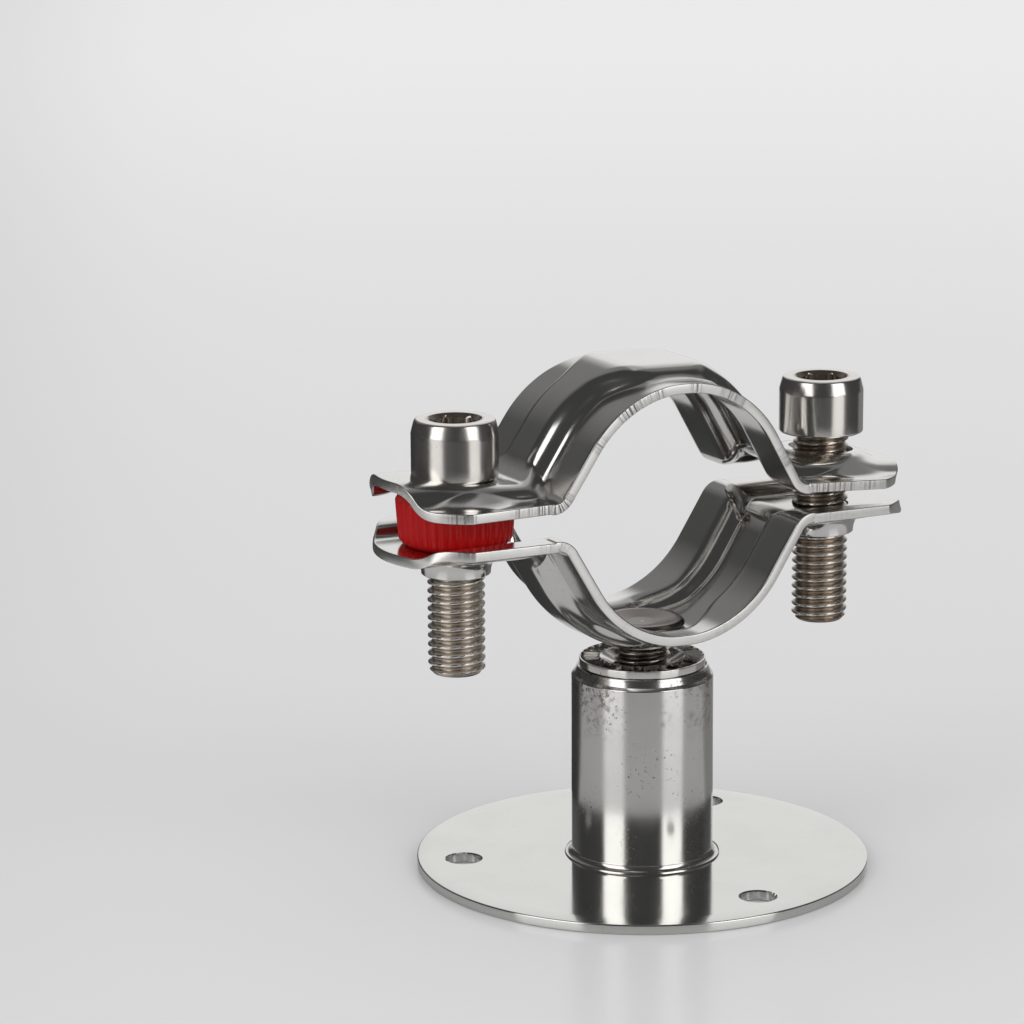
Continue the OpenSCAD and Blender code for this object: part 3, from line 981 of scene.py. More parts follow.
@dataclass
class Stud:
    """The headed stud, in millimetres."""

    head_h: float = 1.2
    head_rim: float = 0.5
    dish_d: float = 9.6
    dish_floor_d: float = 4.2
    dish: float = 0.5
    neck_d: float = 7.1
    neck_h: float = 2.6
    taper_h: float = 0.4
    tip: float = 3.2
    hollow_shade_share: float = 0.85
    steps: int = 96
    thread: Thread = field(default_factory=Thread)

    def build(self, effects: Effects) -> None:
        """Builds and dresses the stud.

        Args:
            effects: The shared effects.
        """
        bottom, top = node_heights("stud")
        head_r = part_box("stud")[1].x / MM
        seat = top - self.head_h
        neck = seat - self.neck_h
        body = RingBody(self.steps)
        body.thread(self.thread, bottom, neck - self.taper_h, self.tip)
        body.outline(rounded([
            (self.thread.root, neck - self.taper_h, 0), (self.neck_d / 2, neck, 0.1),
            (self.neck_d / 2, seat, 0.12),
            (head_r - self.head_rim, seat, 0.1), (head_r, seat + self.head_rim, 0.3),
            (head_r, top - self.head_rim, 0.3), (head_r - self.head_rim, top, 0.4),
            (self.dish_d / 2, top, 0.5), (self.dish_floor_d / 2, top - self.dish, 2.0),
            (0.4, top - self.dish, 0),
        ]))
        # Painted shade and dark reflection on the head: its rings above the lower rim take a fixed share of
        # the dark painted shade colour.
        for ring, row in zip(body.rings, body.grooves):
            if ring[0][2] > seat + self.head_rim:
                row[:] = [self.hollow_shade_share] * body.steps
        stud = body.piece("headed_stud", looped=False, limit=45)
        # The painted shade colour darkens the stud's thread roots and its head.
        steel = SteelFinish("stud_steel", (0.5, 0.46, 0.42), 0.16, groove=(0.06, 0.04, 0.03))
        dress(stud, steel.build(effects), "stud")


@dataclass
class CapScrew:
    """A socket-head cap screw, in millimetres.

    Attributes:
        node: The CAD node that the screw stands for.
        name: Name of the object.
        turn: Angle by which the screw is turned, in degrees. It also shifts the unevenness of the bevel.
        sink: How much lower than its node the screw stands.
    """

    node: str
    name: str
    turn: float
    head_h: float = 8.0
    bevel_h: float = 1.9
    bevel: float = 0.5
    rim: float = 0.3
    bevel_rows: tuple[Flat, ...] = ((-0.3, 0.0), (-0.05, 0.0), (0.05, 0.02), (0.3, 0.08))
    neck_r: float = 4.3
    foot_rim: float = 0.35
    flats: float = 6.0
    mouth_r: float = 3.75
    mouth_drops: tuple[float, ...] = (0.06, 0.14, 0.24, 0.4, 0.6)
    sink: float = 0.0
    socket_h: float = 4.0
    cone_h: float = 0.8
    tip: float = 3.2
    unevenness: float = 0.26
    hollow_shade_share: float = 0.6
    steps: int = 144
    thread: Thread = field(default_factory=Thread)

    def build(self, steel: bpy.types.Material) -> None:
        """Builds and dresses the screw.

        Args:
            steel: Its material.
        """
        bottom, top = node_heights(self.node)
        low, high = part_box(self.node)
        radius = (high.x - low.x) / 2 / MM
        seat = top - self.head_h
        body = RingBody(self.steps)
        body.thread(self.thread, bottom, seat, self.tip)
        body.circle(self.thread.crest, seat)
        body.outline(rounded([(self.neck_r, seat, 0), (radius, seat, self.foot_rim), (radius, seat + 2, 0)]))
        shoulder = top - self.bevel_h
        for offset, inset in self.bevel_rows:
            body.shaped(lambda _, inset=inset: radius - inset,
                        lambda a, z=shoulder + offset: z + self.unevenness * ripple(a, self.turn))
        body.outline(rounded([
            (radius - self.bevel * 0.72, top - 0.5, 0), (radius - self.bevel, top - 0.12, 0.3),
            (radius - self.bevel - self.rim, top, 0.25), (self.mouth_r + 0.4, top, 0),
        ]))
        socket = top - self.socket_h
        hexagon = partial(hexagon_radius, flats=self.flats)
        walls = len(body.rings)
        body.circle(self.mouth_r, top)
        for drop in self.mouth_drops:
            body.shaped(lambda a, drop=drop: max(hexagon(a), self.mouth_r - drop),
                        lambda _, drop=drop: top - drop)
        body.shaped(hexagon, lambda _: socket)
        body.outline([(self.flats / 2 - 0.05, socket - 0.02), (0.3, socket - self.cone_h)])
        # Painted shade in the socket: its walls and floor take a fixed share of the painted shade colour.
        for row in body.grooves[walls:]:
            row[:] = [self.hollow_shade_share] * body.steps
        body.turned(self.turn)
        screw = body.piece(self.name, looped=False, limit=38, at=(*node_middle(self.node), -self.sink))
        dress(screw, steel, self.node)


class Spot(NamedTuple):
    """A place on the middle line of a rib's section.

    Attributes:
        y: Distance behind the strip's middle, in millimetres.
        rise: Height above the flats, in millimetres.
        share: The rise as a share of the crown's.
    """

    y: float
    rise: float
    share: float


@dataclass(frozen=True)
class Rib:
    """The pressed rib's section at one place, in millimetres.

    Attributes:
        crown: Half the width of the crown.
        run: Width of each rolled side.
        rise: Height of the crown above the flats.
    """

    crown: float
    run: float
    rise: float

    def towards(self, other: "Rib", share: float) -> "Rib":
        """Returns the section at a share of the way to another, eased at both ends."""
        eased = ease(share)
        return Rib(between(self.crown, other.crown, eased), between(self.run, other.run, eased),
                   between(self.rise, other.rise, eased))

    def line(self, half_width: float) -> list[Spot]:
        """Traces the middle line of the section.

        Args:
            half_width: Half the width of the strip.

        Returns:
            The line's places, from the front edge to the back one.
        """
        flats, turns, crowns = 9, 9, 8
        foot = self.crown + self.run
        turn = 2 * math.atan2(self.rise, self.run)
        radius = self.run / 2 / math.sin(turn)
        front: list[Flat] = []
        for step in range(flats):
            front.append((-between(half_width, foot, step / flats), 0.0))
        for step in range(turns + 1):
            angle = turn * step / turns
            front.append((radius * math.sin(angle) - foot, radius * (1 - math.cos(angle))))
        for step in range(turns - 1, -1, -1):
            angle = turn * step / turns
            fall = radius * (1 - math.cos(angle))
            front.append((-self.crown - radius * math.sin(angle), self.rise - fall))
        for step in range(1, crowns):
            front.append((-self.crown * (1 - step / crowns), self.rise))
        back = [(-y, rise) for y, rise in reversed(front)]
        return [Spot(y, rise, rise / self.rise) for y, rise in front + [(0.0, self.rise)] + back]


@dataclass(frozen=True)
class Ear:
    """One ear of a clamp half.

    Attributes:
        droop: Angle by which the ear falls from the half's own level, in degrees.
        end: The rib's section at the ear's rounded end.
        seat: True if the ear has a raised seat for a screw head.
        reach: How far the ear runs past its screw, in millimetres.
        far_lift: Height of the far flat above the near one at the ear's end, in millimetres.
    """

    droop: float
    end: Rib
    seat: bool
    reach: float = 10.8
    far_lift: float = 0.0


def grid_border(rows: int, columns: int) -> list[tuple[int, int]]:
    """Lists the places round the edge of a grid, in order.

    Args:
        rows: Rows of the grid.
        columns: Columns of the grid.

    Returns:
        Row and column of each place.
    """
    return ([(i, 0) for i in range(rows)] + [(rows - 1, j) for j in range(1, columns)]
            + [(i, columns - 1) for i in range(rows - 2, -1, -1)]
            + [(0, j) for j in range(columns - 2, 0, -1)])


@dataclass
class ClampHalf:
    """A pressed half of the clamp, in its own frame: pipe centre at the origin, rib upward.

    Attributes:
        half: Which half it is. The lower one is turned over when it is placed.
        tilt: Angle by which it leans to the right, in degrees.
        lift: Height of its origin in the bracket.
        shift: How far its origin stands to the right.
        left: Its left ear.
        right: Its right ear.
    """

    half: Half
    tilt: float
    lift: float
    shift: float
    left: Ear
    right: Ear
    pipe_r: float = 16.0
    sheet: float = 1.4
    strip_w: float = 25.0
    plateau: Rib = Rib(5.2, 4.4, 2.4)
    flank: Rib = Rib(2.3, 4.0, 2.4)
    ear_start: Rib = Rib(6.2, 3.6, 2.0)
    narrow_start: float = 10.0
    narrow_end: float = 36.0
    crown_flat: float = 0.8
    leg_lean: float = 32.0
    ear_step: float = 0.6
    edge_bend: float = 3.5
    crown_bend: float = 6.0
    leg_share: float = 1 / 8
    leg_rows: int = 8
    bend_rows: int = 22
    ear_rows: int = 52
    arc_rows: int = 116
    rim_rows: int = 3
    screw_x: float = 29.5
    ear_end_r: float = 14.5
    seat_d: float = 11.2
    seat_rise: float = 2.6
    seat_slope: float = 0.5
    seat_blend: float = 0.5
    lift_run: float = 5.0
    lift_blend: float = 0.6
    crown_blend: float = 0.25
    edge_round: float = 0.16
    ear_hole_r: float = 4.6
    collar_root_r: float = 6.3
    collar_lip_r: float = 4.75
    collar_h: float = 2.6
    collar_bore_r: float = 3.9
    tapped_r: float = 4.05
    stud_hole_r: float = 4.2
    end_ticks: float = 0.3

    def knee(self) -> Flat:
        """Finds where leg and ear would meet on the pipe side of the flats.

        Returns:
            X and Z of that corner.
        """
        lean = math.radians(90 - self.leg_lean)
        x, z = self.pipe_r * math.sin(lean), self.pipe_r * math.cos(lean)
        length = (z - self.ear_step) / math.sin(lean)
        return x + length * math.cos(lean), self.ear_step

    def bend_point(self, ear: Ear, spot: Spot, turned: float) -> Flat:
        """Finds a point of the middle sheet in the knee.

        Args:
            ear: The ear on that side.
            spot: The place on the rib's section.
            turned: Share of the way round the bend.

        Returns:
            X and Z of the point.
        """
        lean, droop = math.radians(90 - self.leg_lean), math.radians(ear.droop)
        depth = spot.rise + self.sheet / 2
        radius = between(self.edge_bend, self.crown_bend, spot.share) - self.sheet / 2
        knee_x, knee_z = self.knee()
        scale = depth / (1 + math.cos(lean - droop))
        corner_x = knee_x + scale * (math.sin(lean) + math.sin(droop))
        corner_z = knee_z + scale * (math.cos(lean) + math.cos(droop))
        tangent = radius * math.tan((lean - droop) / 2)
        centre_x = corner_x - tangent * math.cos(lean) + radius * math.sin(lean)
        centre_z = corner_z + tangent * math.sin(lean) + radius * math.cos(lean)
        angle = between(lean, droop, turned)
        return centre_x - radius * math.sin(angle), centre_z - radius * math.cos(angle)

    def leg_point(self, ear: Ear, spot: Spot, down: float) -> Flat:
        """Finds a point of the middle sheet on the leg.

        Args:
            ear: The ear on that side.
            spot: The place on the rib's section.
            down: Share of the way down to the bend.

        Returns:
            X and Z of the point.
        """
        lean = math.radians(90 - self.leg_lean)
        radius = self.pipe_r + spot.rise + self.sheet / 2
        low_x, low_z = self.bend_point(ear, spot, 0.0)
        return between(radius * math.sin(lean), low_x, down), between(radius * math.cos(lean), low_z, down)

    def ear_point(self, ear: Ear, spot: Spot, out: float) -> Flat:
        """Finds a point of the middle sheet in the ear.

        Args:
            ear: The ear.
            spot: The place on the rib's section.
            out: Share of the way out to the ear's rounded end.

        Returns:
            X and Z of the point.
        """
        droop = math.radians(ear.droop)
        knee_x, knee_z = self.knee()
        start_x, start_z = self.bend_point(ear, spot, 1.0)
        start = (start_x - knee_x) * math.cos(droop) - (start_z - knee_z) * math.sin(droop)
        length = self.screw_x + ear.reach - knee_x - self.ear_end_r
        end = length + math.sqrt(self.ear_end_r ** 2 - spot.y ** 2)
        along = between(start, end, out)
        far = ear.far_lift * ease(spot.y / self.lift_run) * ease(out)
        rise = soft_max(spot.rise, far, self.lift_blend)
        if ear.seat:
            away = math.hypot(along - (self.screw_x - knee_x), spot.y)
            cone = self.seat_rise - max(0.0, away - self.seat_d / 2) * self.seat_slope
            rise = soft_max(rise, cone, self.seat_blend)
        depth = rise + self.sheet / 2
        return (knee_x + along * math.cos(droop) + depth * math.sin(droop),
                knee_z - along * math.sin(droop) + depth * math.cos(droop))

    def arc_point(self, spot: Spot, angle: float) -> Flat:
        """Finds a point of the middle sheet round the pipe, with the crown pressed flat.

        Args:
            spot: The place on the rib's section.
            angle: Angle from the top of the pipe, in degrees.

        Returns:
            X and Z of the point.
        """
        radius = self.pipe_r + spot.rise + self.sheet / 2
        turn = math.radians(angle)
        flat = radius - self.crown_flat * spot.share
        return radius * math.sin(turn), soft_min(radius * math.cos(turn), flat, self.crown_blend)

    def row(self, rib: Rib, point_at: Callable[[Spot], Flat]) -> list[Point]:
        """Builds one row of the middle sheet across the strip.

        Args:
            rib: The rib's section there.
            point_at: Gives X and Z for a place on the section.

        Returns:
            The points of the row.
        """
        row: list[Point] = []
        for spot in rib.line(self.strip_w / 2):
            x, z = point_at(spot)
            row.append((x, spot.y, z))
        return row

    def side_rows(self, ear: Ear) -> list[list[Point]]:
        """Builds the middle sheet from the leg's top out to one ear's end.

        Args:
            ear: The ear on that side.

        Returns:
            The rows, as they stand on the right.
        """
        first = self.leg_share
        zones = (
            (self.leg_rows, self.leg_point,
             lambda s: self.flank.towards(self.ear_start, first * s)),
            (self.bend_rows, self.bend_point,
             lambda s: self.flank.towards(self.ear_start, first + (1 - first) * s)),
            (self.ear_rows, self.ear_point, lambda s: self.ear_start.towards(ear.end, s)),
        )
        rows: list[list[Point]] = []
        for steps, point_at, rib_at in zones:
            for step in range(1, steps + 1):
                share = step / steps
                rows.append(self.row(rib_at(share), lambda spot, share=share: point_at(ear, spot, share)))
        return rows

    def middle_sheet(self) -> np.ndarray:
        """Builds the grid of points midway in the sheet.

        Returns:
            The rows, from the left ear's end to the right one's.
        """
        reach = 90 - self.leg_lean
        rows = [[(-x, y, z) for x, y, z in row] for row in reversed(self.side_rows(self.left))]
        for step in range(self.arc_rows + 1):
            angle = between(-reach, reach, step / self.arc_rows)
            share = (abs(angle) - self.narrow_start) / (self.narrow_end - self.narrow_start)
            rib = self.plateau.towards(self.flank, share)
            rows.append(self.row(rib, partial(self.arc_point, angle=angle)))
        rows.extend(self.side_rows(self.right))
        return np.array(rows)

    def placed(self, points: np.ndarray) -> np.ndarray:
        """Moves points from the half's own frame to where the half sits in the bracket.

        Args:
            points: The points.

        Returns:
            The points in the bracket.
        """
        local = points * np.array([1.0, 1.0, -1.0 if self.half is Half.LOWER else 1.0])
        turn = math.radians(self.tilt)
        x = local[..., 0] * math.cos(turn) + local[..., 2] * math.sin(turn) + self.shift
        z = local[..., 2] * math.cos(turn) - local[..., 0] * math.sin(turn) + self.lift
        return np.stack([x, local[..., 1], z], axis=-1)

    def sheet_mesh(self) -> bpy.types.Object:
        """Builds the pressed sheet with its thickness and its sheared edges.

        Returns:
            The sheet, without holes or collars.
        """
        middle = self.middle_sheet()
        rows, columns, _ = middle.shape
        normal = np.cross(np.gradient(middle, axis=0), np.gradient(middle, axis=1))
        normal /= np.linalg.norm(normal, axis=2, keepdims=True)
        if normal[rows // 2, columns // 2, 2] < 0:
            normal = -normal
        border = grid_border(rows, columns)
        rim = np.array([middle[place] for place in border])
        up = np.array([normal[place] for place in border])
        out = np.cross(np.roll(rim, -1, axis=0) - np.roll(rim, 1, axis=0), up)
        out /= np.linalg.norm(out, axis=1, keepdims=True)
        if out[0, 0] > 0:
            out = -out
        half = self.sheet / 2
        outer = middle + normal * half
        inner = middle - normal * half
        for index, place in enumerate(border):
            outer[place] = rim[index] + up[index] * half - out[index] * self.edge_round
            inner[place] = rim[index] - up[index] * half - out[index] * self.edge_round
        turns = self.rim_rows
        levels: list[Flat] = []
        for step in range(1, turns + 1):
            turn = math.pi / 2 * step / turns
            levels.append(((math.sin(turn) - 1) * self.edge_round,
                           half - self.edge_round + math.cos(turn) * self.edge_round))
        levels += [(inset, -height) for inset, height in reversed(levels)]
        points = list(outer.reshape(-1, 3)) + list(inner.reshape(-1, 3))
        faces: Faces = []
        for low in (i * columns + j for i in range(rows - 1) for j in range(columns - 1)):
            face = (low, low + 1, low + columns + 1, low + columns)
            faces.append(face)
            faces.append(tuple(rows * columns + corner for corner in face[::-1]))
        count = len(border)
        sheared = [0.0] * len(points)
        along = [0.0] * len(points)
        travelled = np.cumsum(np.linalg.norm(np.roll(rim, -1, axis=0) - rim, axis=1))
        rings = [[i * columns + j for i, j in border]]
        for level, (inset, height) in enumerate(levels):
            rings.append([len(points) + index for index in range(count)])
            points.extend(rim + out * inset + up * height)
            sheared += [1.0 if turns - 1 <= level <= len(levels) - turns else self.end_ticks] * count
            along += list(travelled)
        rings.append([rows * columns + i * columns + j for i, j in border])
        for low_ring, high_ring in zip(rings, rings[1:]):
            for index in range(count):
                after = (index + 1) % count
                faces.append((low_ring[index], low_ring[after], high_ring[after], high_ring[index]))
        sheet = mesh_object(self.half.value + "_pressing", self.placed(np.array(points)), faces)
        paint_points(sheet, "sheared", sheared)
        paint_points(sheet, "along", along)
        return sheet

    def lower_ear_z(self, x: float, depth: float) -> float:
        """Returns the height of the lower half's ear, a depth below its pipe side."""
        turn = math.radians(self.tilt)
        return self.lift - (self.ear_step + depth) / math.cos(turn) - x * math.tan(turn)

    def collar(self, x: float) -> bpy.types.Object:
        """Builds a drawn collar that flares into the underside of a lower ear.

        Args:
            x: Where its axis stands.

        Returns:
            The collar, filled.
        """
        root = self.lower_ear_z(x, self.ear_start.rise - 0.02 + self.sheet)
        low = root - self.collar_h
        flare = self.collar_root_r - self.collar_lip_r
        steps = 12
        outline = [(self.collar_bore_r, low), (self.collar_lip_r - 0.15, low),
                   (self.collar_lip_r, low + 0.12)]
        for step in range(1, steps + 1):
            turn = math.pi / 2 * step / steps
            outline.append((self.collar_lip_r + flare * (1 - math.cos(turn)),
                            root - self.collar_h * (1 - math.sin(turn))))
        outline += [(self.collar_root_r, root + 0.6), (self.collar_bore_r, root + 0.6)]
        return turned_solid("collar", outline, (x, 0.0, 0.0), 120)

    def drill(self, sheet: bpy.types.Object, x: float, radius: float, low: float, high: float) -> None:
        """Takes a round hole out of the sheet.

        Args:
            sheet: The sheet.
            x: Where the hole's axis stands.
            radius: Its radius.
            low: Where the cut starts, from the middle of the pipe.
            high: Where the cut ends.
        """
        outline = [(radius, self.lift + low), (radius, self.lift + high)]
        carve(sheet, turned_solid("drill", outline, (x, 0.0, 0.0), 96), Cut.REMOVE)

    def build(self, steel: bpy.types.Material) -> None:
        """Builds and dresses the half.

        Args:
            steel: Its material.
        """
        sheet = self.sheet_mesh()
        for x in (-self.screw_x, self.screw_x):
            if self.half is Half.LOWER:
                carve(sheet, self.collar(x), Cut.JOIN)
                self.drill(sheet, x, self.tapped_r, -20, 4)
            else:
                self.drill(sheet, x, self.ear_hole_r, -8, 10)
        if self.half is Half.LOWER:
            self.drill(sheet, 0.0, self.stud_hole_r, -22, -14)
        smooth(sheet, 35)
        dress(sheet, steel, self.half.value)


@dataclass
class Spacer:
    """The ribbed plastic spacer between the left ears, in millimetres."""

    foot_r: float = 7.7
    top_r: float = 8.2
    bore_r: float = 4.3
    rim_run: float = 0.8
    rim_drop: float = 1.0
    grooves: int = 36
    groove_depth: float = 0.2
    groove_width: float = 0.34
    groove_steps: int = 10
    foot_round: float = 0.7
    rows: int = 24
    rim_rows: int = 8

    def flute(self, angle: float) -> float:
        """Returns the depth of the grooves at an angle."""
        phase = angle / (2 * math.pi) * self.grooves % 1.0
        return self.groove_depth * ease(1 - abs(phase - 0.5) / self.groove_width)

    def build(self, effects: Effects) -> None:
        """Builds and dresses the spacer.

        Args:
            effects: The shared effects.
        """
        bottom, top = node_heights("spacer")
        shoulder = top - self.rim_drop
        body = RingBody(self.grooves * self.groove_steps)
        body.outline([(self.bore_r, bottom), (self.foot_r - 0.9, bottom)])
        rings: list[tuple[float, float, float]] = []
        for row in range(self.rows + 1):
            share = row / self.rows
            foot = self.foot_round * max(0.0, 1 - share * 6) ** 2
            radius = between(self.foot_r, self.top_r, share ** 0.8) - foot
            rings.append((radius, min(1.0, 8 * share), between(bottom + 0.1, shoulder, share)))
        for row in range(1, self.rim_rows + 1):
            share = row / self.rim_rows
            radius = self.top_r - self.rim_run * share ** 1.4
            rings.append((radius, 1 - share, between(shoulder, top, share)))
        for radius, deep, z in rings:
            body.shaped(lambda a, r=radius, deep=deep: r - deep * self.flute(a), lambda _, z=z: z)
        body.circle(self.bore_r, top)
        spacer = body.piece("ribbed_spacer", looped=True, limit=50, at=(*node_middle("spacer"), 0.0))
        dress(spacer, PlasticFinish().build(effects), "spacer")


# Floor, light and camera


@dataclass
class Studio:
    """The pale floor, the two tall soft lights, the dark room and the camera, in metres and degrees.

    Directions are angles to the left of the way from the object to the camera.
    """

    heading: float = 30.66
    camera_at: Point = (-0.2752, -0.4642, 0.1781)
    camera_yaw: float = 28.73
    camera_pitch: float = 13.25
    camera_roll: float = -0.37
    lens: float = 139.7
    light_distance: float = 0.95
    light_height: float = 0.92
    light_width: float = 0.6
    light_level: float = 1.7
    light_turns: tuple[float, float] = (47.0, -51.0)
    light_foot: float = 0.05
    dome_level: float = 0.88
    pale: Colour = (0.84, 0.84, 0.845)
    room_radius: float = 2.2
    room_dark: float = 0.05
    room_back: float = 0.84
    room_edges: tuple[float, float] = (161.0, 150.0)
    room_fade: float = 12.0
    room_step: int = 3
    room_ceiling: float = 0.2
    ceiling_height: float = 8.0
    ceiling_rise: float = 20.0
    ceiling_turn: float = 100.0
    ceiling_fade: float = 50.0
    apron_start: float = 0.2
    apron_glow: float = 0.95
    apron_lift: float = 0.0015
    apron_turn: int = 120
    apron_step: int = 2
    side_start: float = 0.0325
    side_levels: tuple[float, float] = (0.04, 0.22)
    side_first: float = 0.46
    side_turns: tuple[int, int] = (108, 162)
    floor_reach: float = 6.0
    floor_painted_shade_near: Colour = (0.665, 0.665, 0.675)
    floor_painted_light_far: Colour = (0.9, 0.9, 0.9)
    floor_painted_light_reach: float = 1.1
    floor_reflected: Colour = (0.52, 0.52, 0.525)
    floor_gloss: float = 0.5
    floor_gloss_seen: float = 0.05
    floor_roughness: float = 0.2
    floor_ior: float = 1.7

    def away(self, turn: float) -> Vector:
        """Returns the level direction at an angle to the left of the way to the camera."""
        angle = math.radians(-90 - self.heading - turn)
        return Vector((math.cos(angle), math.sin(angle), 0.0))

    def floor(self) -> None:
        """Lays the pale floor, matt to the camera and satin in reflections, with painted light: to the
        camera it is darker near the bracket and paler far away.
        """
        mesh = bpy.data.meshes.new("floor")
        reach = self.floor_reach
        corners = [(-reach, -reach, 0), (reach, -reach, 0), (reach, reach, 0), (-reach, reach, 0)]
        mesh.from_pydata(corners, [], [(0, 1, 2, 3)])
        floor = bpy.data.objects.new("floor", mesh)
        bpy.context.scene.collection.objects.link(floor)
        maker = MaterialMaker("pale_floor")
        seen = maker.node("ShaderNodeLightPath").outputs["Is Camera Ray"]
        where = maker.node("ShaderNodeTexCoord").outputs["Object"]
        far = maker.node("ShaderNodeVectorMath", {0: where}, operation="LENGTH").outputs["Value"]
        # Painted light: the floor's colour to the camera grows from a darker tone near the bracket to a
        # paler one far away.
        colour = maker.blend(maker.ramp(far, 0.0, self.floor_painted_light_reach), self.floor_painted_shade_near, self.floor_painted_light_far)
        less = self.floor_gloss_seen - self.floor_gloss
        gloss = maker.maths("MULTIPLY_ADD", seen, less, self.floor_gloss)
        maker.shade(Roughness=self.floor_roughness, IOR=self.floor_ior, Specular_IOR_Level=gloss,
                    Base_Color=maker.blend(seen, self.floor_reflected, colour))
        mesh.materials.append(maker.material)

    def soft_light(self, name: str, turn: float) -> None:
        """Stands one tall soft light on the floor.

        Args:
            name: Name of the light.
            turn: Its angle to the left of the camera.
        """
        lamp = bpy.data.lights.new(name, "AREA")
        lamp.shape = "RECTANGLE"
        lamp.size = self.light_width
        lamp.size_y = self.light_height
        lamp.energy = self.light_level * math.pi * self.light_width * self.light_height
        light = bpy.data.objects.new(name, lamp)
        middle = Vector((0, 0, self.light_height / 2 + self.light_foot))
        place = self.away(turn) * self.light_distance + middle
        light.location = place
        aim = Vector((0, 0, place.z)) - place
        light.rotation_euler = aim.to_track_quat("-Z", "Y").to_euler()
        light.visible_camera = False
        bpy.context.scene.collection.objects.link(light)

    def room_level(self, turn: float, height: float) -> float:
        """Finds how bright the room is: a pale far side under a grey ceiling.

        Args:
            turn: Angle to the left of the camera.
            height: Angle above the floor.

        Returns:
            The brightness.
        """
        edge = self.room_edges[0] if turn > 0 else self.room_edges[1]
        back = ease((abs(turn) - edge) / self.room_fade) * (1 - 0.5 * ease((height - 22) / 30))
        high = ease((height - self.ceiling_height) / self.ceiling_rise)
        behind = ease((abs(turn) - self.ceiling_turn) / self.ceiling_fade)
        return max(self.room_dark, back * self.room_back, high * behind * self.room_ceiling)

    def apron_level(self, turn: float) -> float:
        """Returns how bright the low front of the room is: dark but for the feet of the two soft lights."""
        lights = [ease((18 - abs(turn - light)) / 4) for light in self.light_turns]
        return max(self.room_dark, self.apron_glow * max(lights))

    def reflected(self, name: str, rows: list[list[Point]], glow: list[list[float]]) -> None:
        """Hangs a glowing sheet that only reflections show.

        Args:
            name: Name of the object.
            rows: Its grid of points, in metres.
            glow: The brightness at each point.
        """
        columns = len(rows[0])
        mesh = bpy.data.meshes.new(name)
        faces = [(i * columns + j, i * columns + j + 1, (i + 1) * columns + j + 1, (i + 1) * columns + j)
                 for i in range(len(rows) - 1) for j in range(columns - 1)]
        mesh.from_pydata([point for row in rows for point in row], [], faces)
        sheet = bpy.data.objects.new(name, mesh)
        bpy.context.scene.collection.objects.link(sheet)
        paint_points(sheet, "glow", [value for row in glow for value in row])
        material = bpy.data.materials.new(name)
        material.cycles.emission_sampling = "NONE"
        maker = NodeMaker(NodeMaker.emptied(material))
        shine = maker.node("ShaderNodeEmission", {"Strength": maker.painted("glow")}).outputs[0]
        clear = maker.node("ShaderNodeBsdfTransparent").outputs[0]
        back = maker.node("ShaderNodeNewGeometry").outputs["Backfacing"]
        mix = maker.node("ShaderNodeMixShader", {0: back, 1: shine, 2: clear}).outputs[0]
        maker.node("ShaderNodeOutputMaterial", {"Surface": mix})
        mesh.materials.append(material)
        sheet.visible_camera = False
        sheet.visible_diffuse = False
        sheet.visible_shadow = False

    def dark_room(self) -> None:
        """Hangs the room round the floor, the dark apron in front of it and a sheet on each side."""
        turns = range(-180, 181, self.room_step)
        heights = range(0, 91, self.room_step)
        walls: list[list[Point]] = []
        for height in heights:
            tilt = math.radians(height)
            up = Vector((0, 0, math.sin(tilt)))
            walls.append([tuple(self.room_radius * (self.away(t) * math.cos(tilt) + up)) for t in turns])
        self.reflected("room", walls, [[self.room_level(t, h) for t in turns] for h in heights])
        front = range(-self.apron_turn, self.apron_turn + 1, self.apron_step)
        lift = Vector((0, 0, self.apron_lift))
        apron = [[tuple(self.away(t) * reach + lift) for t in front]
                 for reach in (self.apron_start, self.room_radius)]
        self.reflected("apron", apron, [[self.apron_level(t) for t in front] for _ in apron])
        for name, level, side in zip(("left_side", "right_side"), self.side_levels, (1, -1)):
            turns = sorted(side * turn for turn in range(*self.side_turns, self.room_step))
            sheet = [[tuple(self.away(t) * reach + lift / 2) for t in turns]
                     for reach in (self.side_start, self.room_radius)]
            shade = [between(self.side_first, level, ease((abs(t) - 105) / self.room_fade)) for t in turns]
            self.reflected(name, sheet, [shade, shade])

    def world(self) -> None:
        """Sets the even light from all round, and the pale colour that the camera and reflections see."""
        world = bpy.data.worlds.new("studio")
        bpy.context.scene.world = world
        maker = NodeMaker(NodeMaker.emptied(world))
        path = maker.node("ShaderNodeLightPath").outputs
        seen = maker.maths("MAXIMUM", path["Is Camera Ray"], path["Is Glossy Ray"])
        seen = maker.maths("MAXIMUM", seen, path["Is Transmission Ray"])
        dome = maker.node("ShaderNodeBackground", {"Color": (1.0, 1.0, 1.0), "Strength": self.dome_level})
        pale = maker.node("ShaderNodeBackground", {"Color": self.pale})
        mix = maker.node("ShaderNodeMixShader", {0: seen, 1: dome.outputs[0], 2: pale.outputs[0]})
        maker.node("ShaderNodeOutputWorld", {"Surface": mix.outputs[0]})

    def camera(self) -> None:
        """Places the camera."""
        yaw = math.radians(self.camera_yaw)
        pitch = math.radians(self.camera_pitch)
        roll = math.radians(self.camera_roll)
        ahead = Vector((math.sin(yaw) * math.cos(pitch), math.cos(yaw) * math.cos(pitch), -math.sin(pitch)))
        right = ahead.cross(Vector((0, 0, 1))).normalized()
        up = right.cross(ahead)
        side = right * math.cos(roll) + up * math.sin(roll)
        head = up * math.cos(roll) - right * math.sin(roll)
        lens = bpy.data.cameras.new("camera")
        lens.lens = self.lens
        lens.sensor_width = 36.0
        lens.clip_start = 0.01
        lens.clip_end = 50.0
        camera = bpy.data.objects.new("camera", lens)
        frame = Matrix((side, head, -ahead)).transposed().to_4x4()
        frame.translation = Vector(self.camera_at)
        camera.matrix_world = frame
        bpy.context.scene.collection.objects.link(camera)
        bpy.context.scene.camera = camera

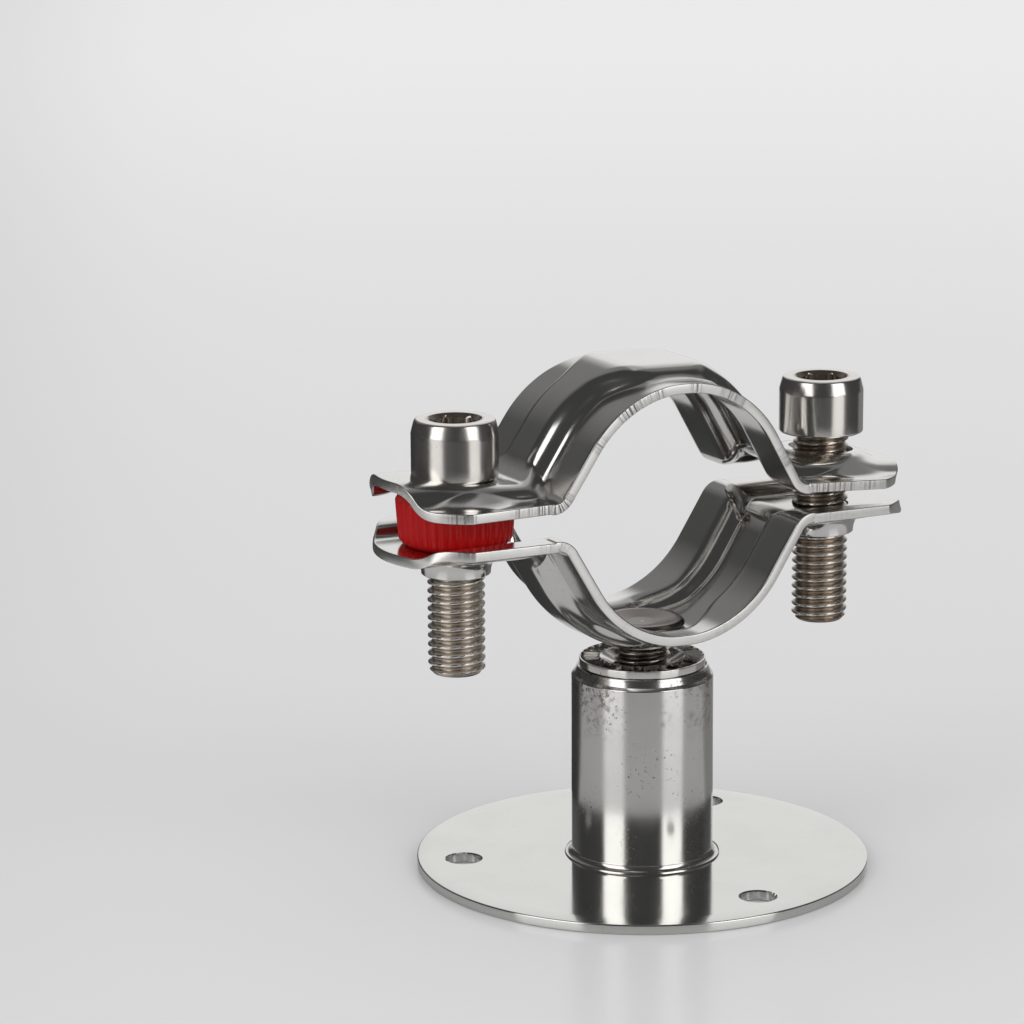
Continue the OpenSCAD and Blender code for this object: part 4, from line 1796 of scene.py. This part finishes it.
    def build(self) -> None:
        """Builds the studio."""
        bpy.context.scene.view_settings.view_transform = "Standard"
        self.camera()
        self.floor()
        self.world()
        self.dark_room()
        for name, turn in zip(("left_soft_light", "right_soft_light"), self.light_turns):
            self.soft_light(name, turn)


def clamp_halves(seat_z: float) -> list[ClampHalf]:
    """Sets out the two halves of the clamp.

    Args:
        seat_z: Height of the pipe's middle, in millimetres.

    Returns:
        The lower half and the upper one.
    """
    lower_end = Rib(5.4, 5.6, 1.8)
    lower = ClampHalf(Half.LOWER, tilt=1.1, lift=seat_z, shift=0.0,
                      left=Ear(0.0, lower_end, False), right=Ear(0.0, lower_end, False))
    upper = ClampHalf(Half.UPPER, tilt=2.6, lift=seat_z + 2.1, shift=-0.8,
                      left=Ear(2.6, Rib(2.8, 6.8, 3.4), True, reach=10.3, far_lift=0.5),
                      right=Ear(1.4, Rib(5.6, 4.4, 1.3), True))
    return [lower, upper]


def main() -> None:
    """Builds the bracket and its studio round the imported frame."""
    logging.basicConfig(level=logging.INFO, format="%(name)s %(message)s")
    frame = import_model()
    seat = next(mount for mount in frame["record"]["mounts"] if mount["name"] == "pipe_seat")
    Studio().build()
    effects = Effects.build()
    Foot().build(effects)
    FlangeNut().build(effects)
    Stud().build(effects)
    lower_steel = SteelFinish("pressed_clamp_steel", (0.79, 0.78, 0.755), 0.13, waves=0.018, grain=0.0014,
                              pits=0.2, torn=0.1)
    upper_steel = replace(lower_steel, name="torn_clamp_steel", torn=0.85)
    for half, finish in zip(clamp_halves(seat["pos_m"][2] / MM), (lower_steel, upper_steel)):
        half.build(finish.build(effects))
    # The screws' painted shade colours darken their thread roots and sockets; the right screw's is a browner
    # shade.
    screw_steel = SteelFinish("cap_screw_steel", (0.79, 0.76, 0.72), 0.12, grain=0.0012, lines=0.012,
                              line_haze=0.12, groove=(0.42, 0.34, 0.26))
    browned = replace(screw_steel, name="browned_screw_steel", groove=(0.3, 0.2, 0.115))
    CapScrew("left_screw", "left_cap_screw", 22.0).build(screw_steel.build(effects))
    CapScrew("right_screw", "right_cap_screw", 30.0, sink=0.6).build(browned.build(effects))
    Spacer().build(effects)


if __name__ == "__main__":
    main()
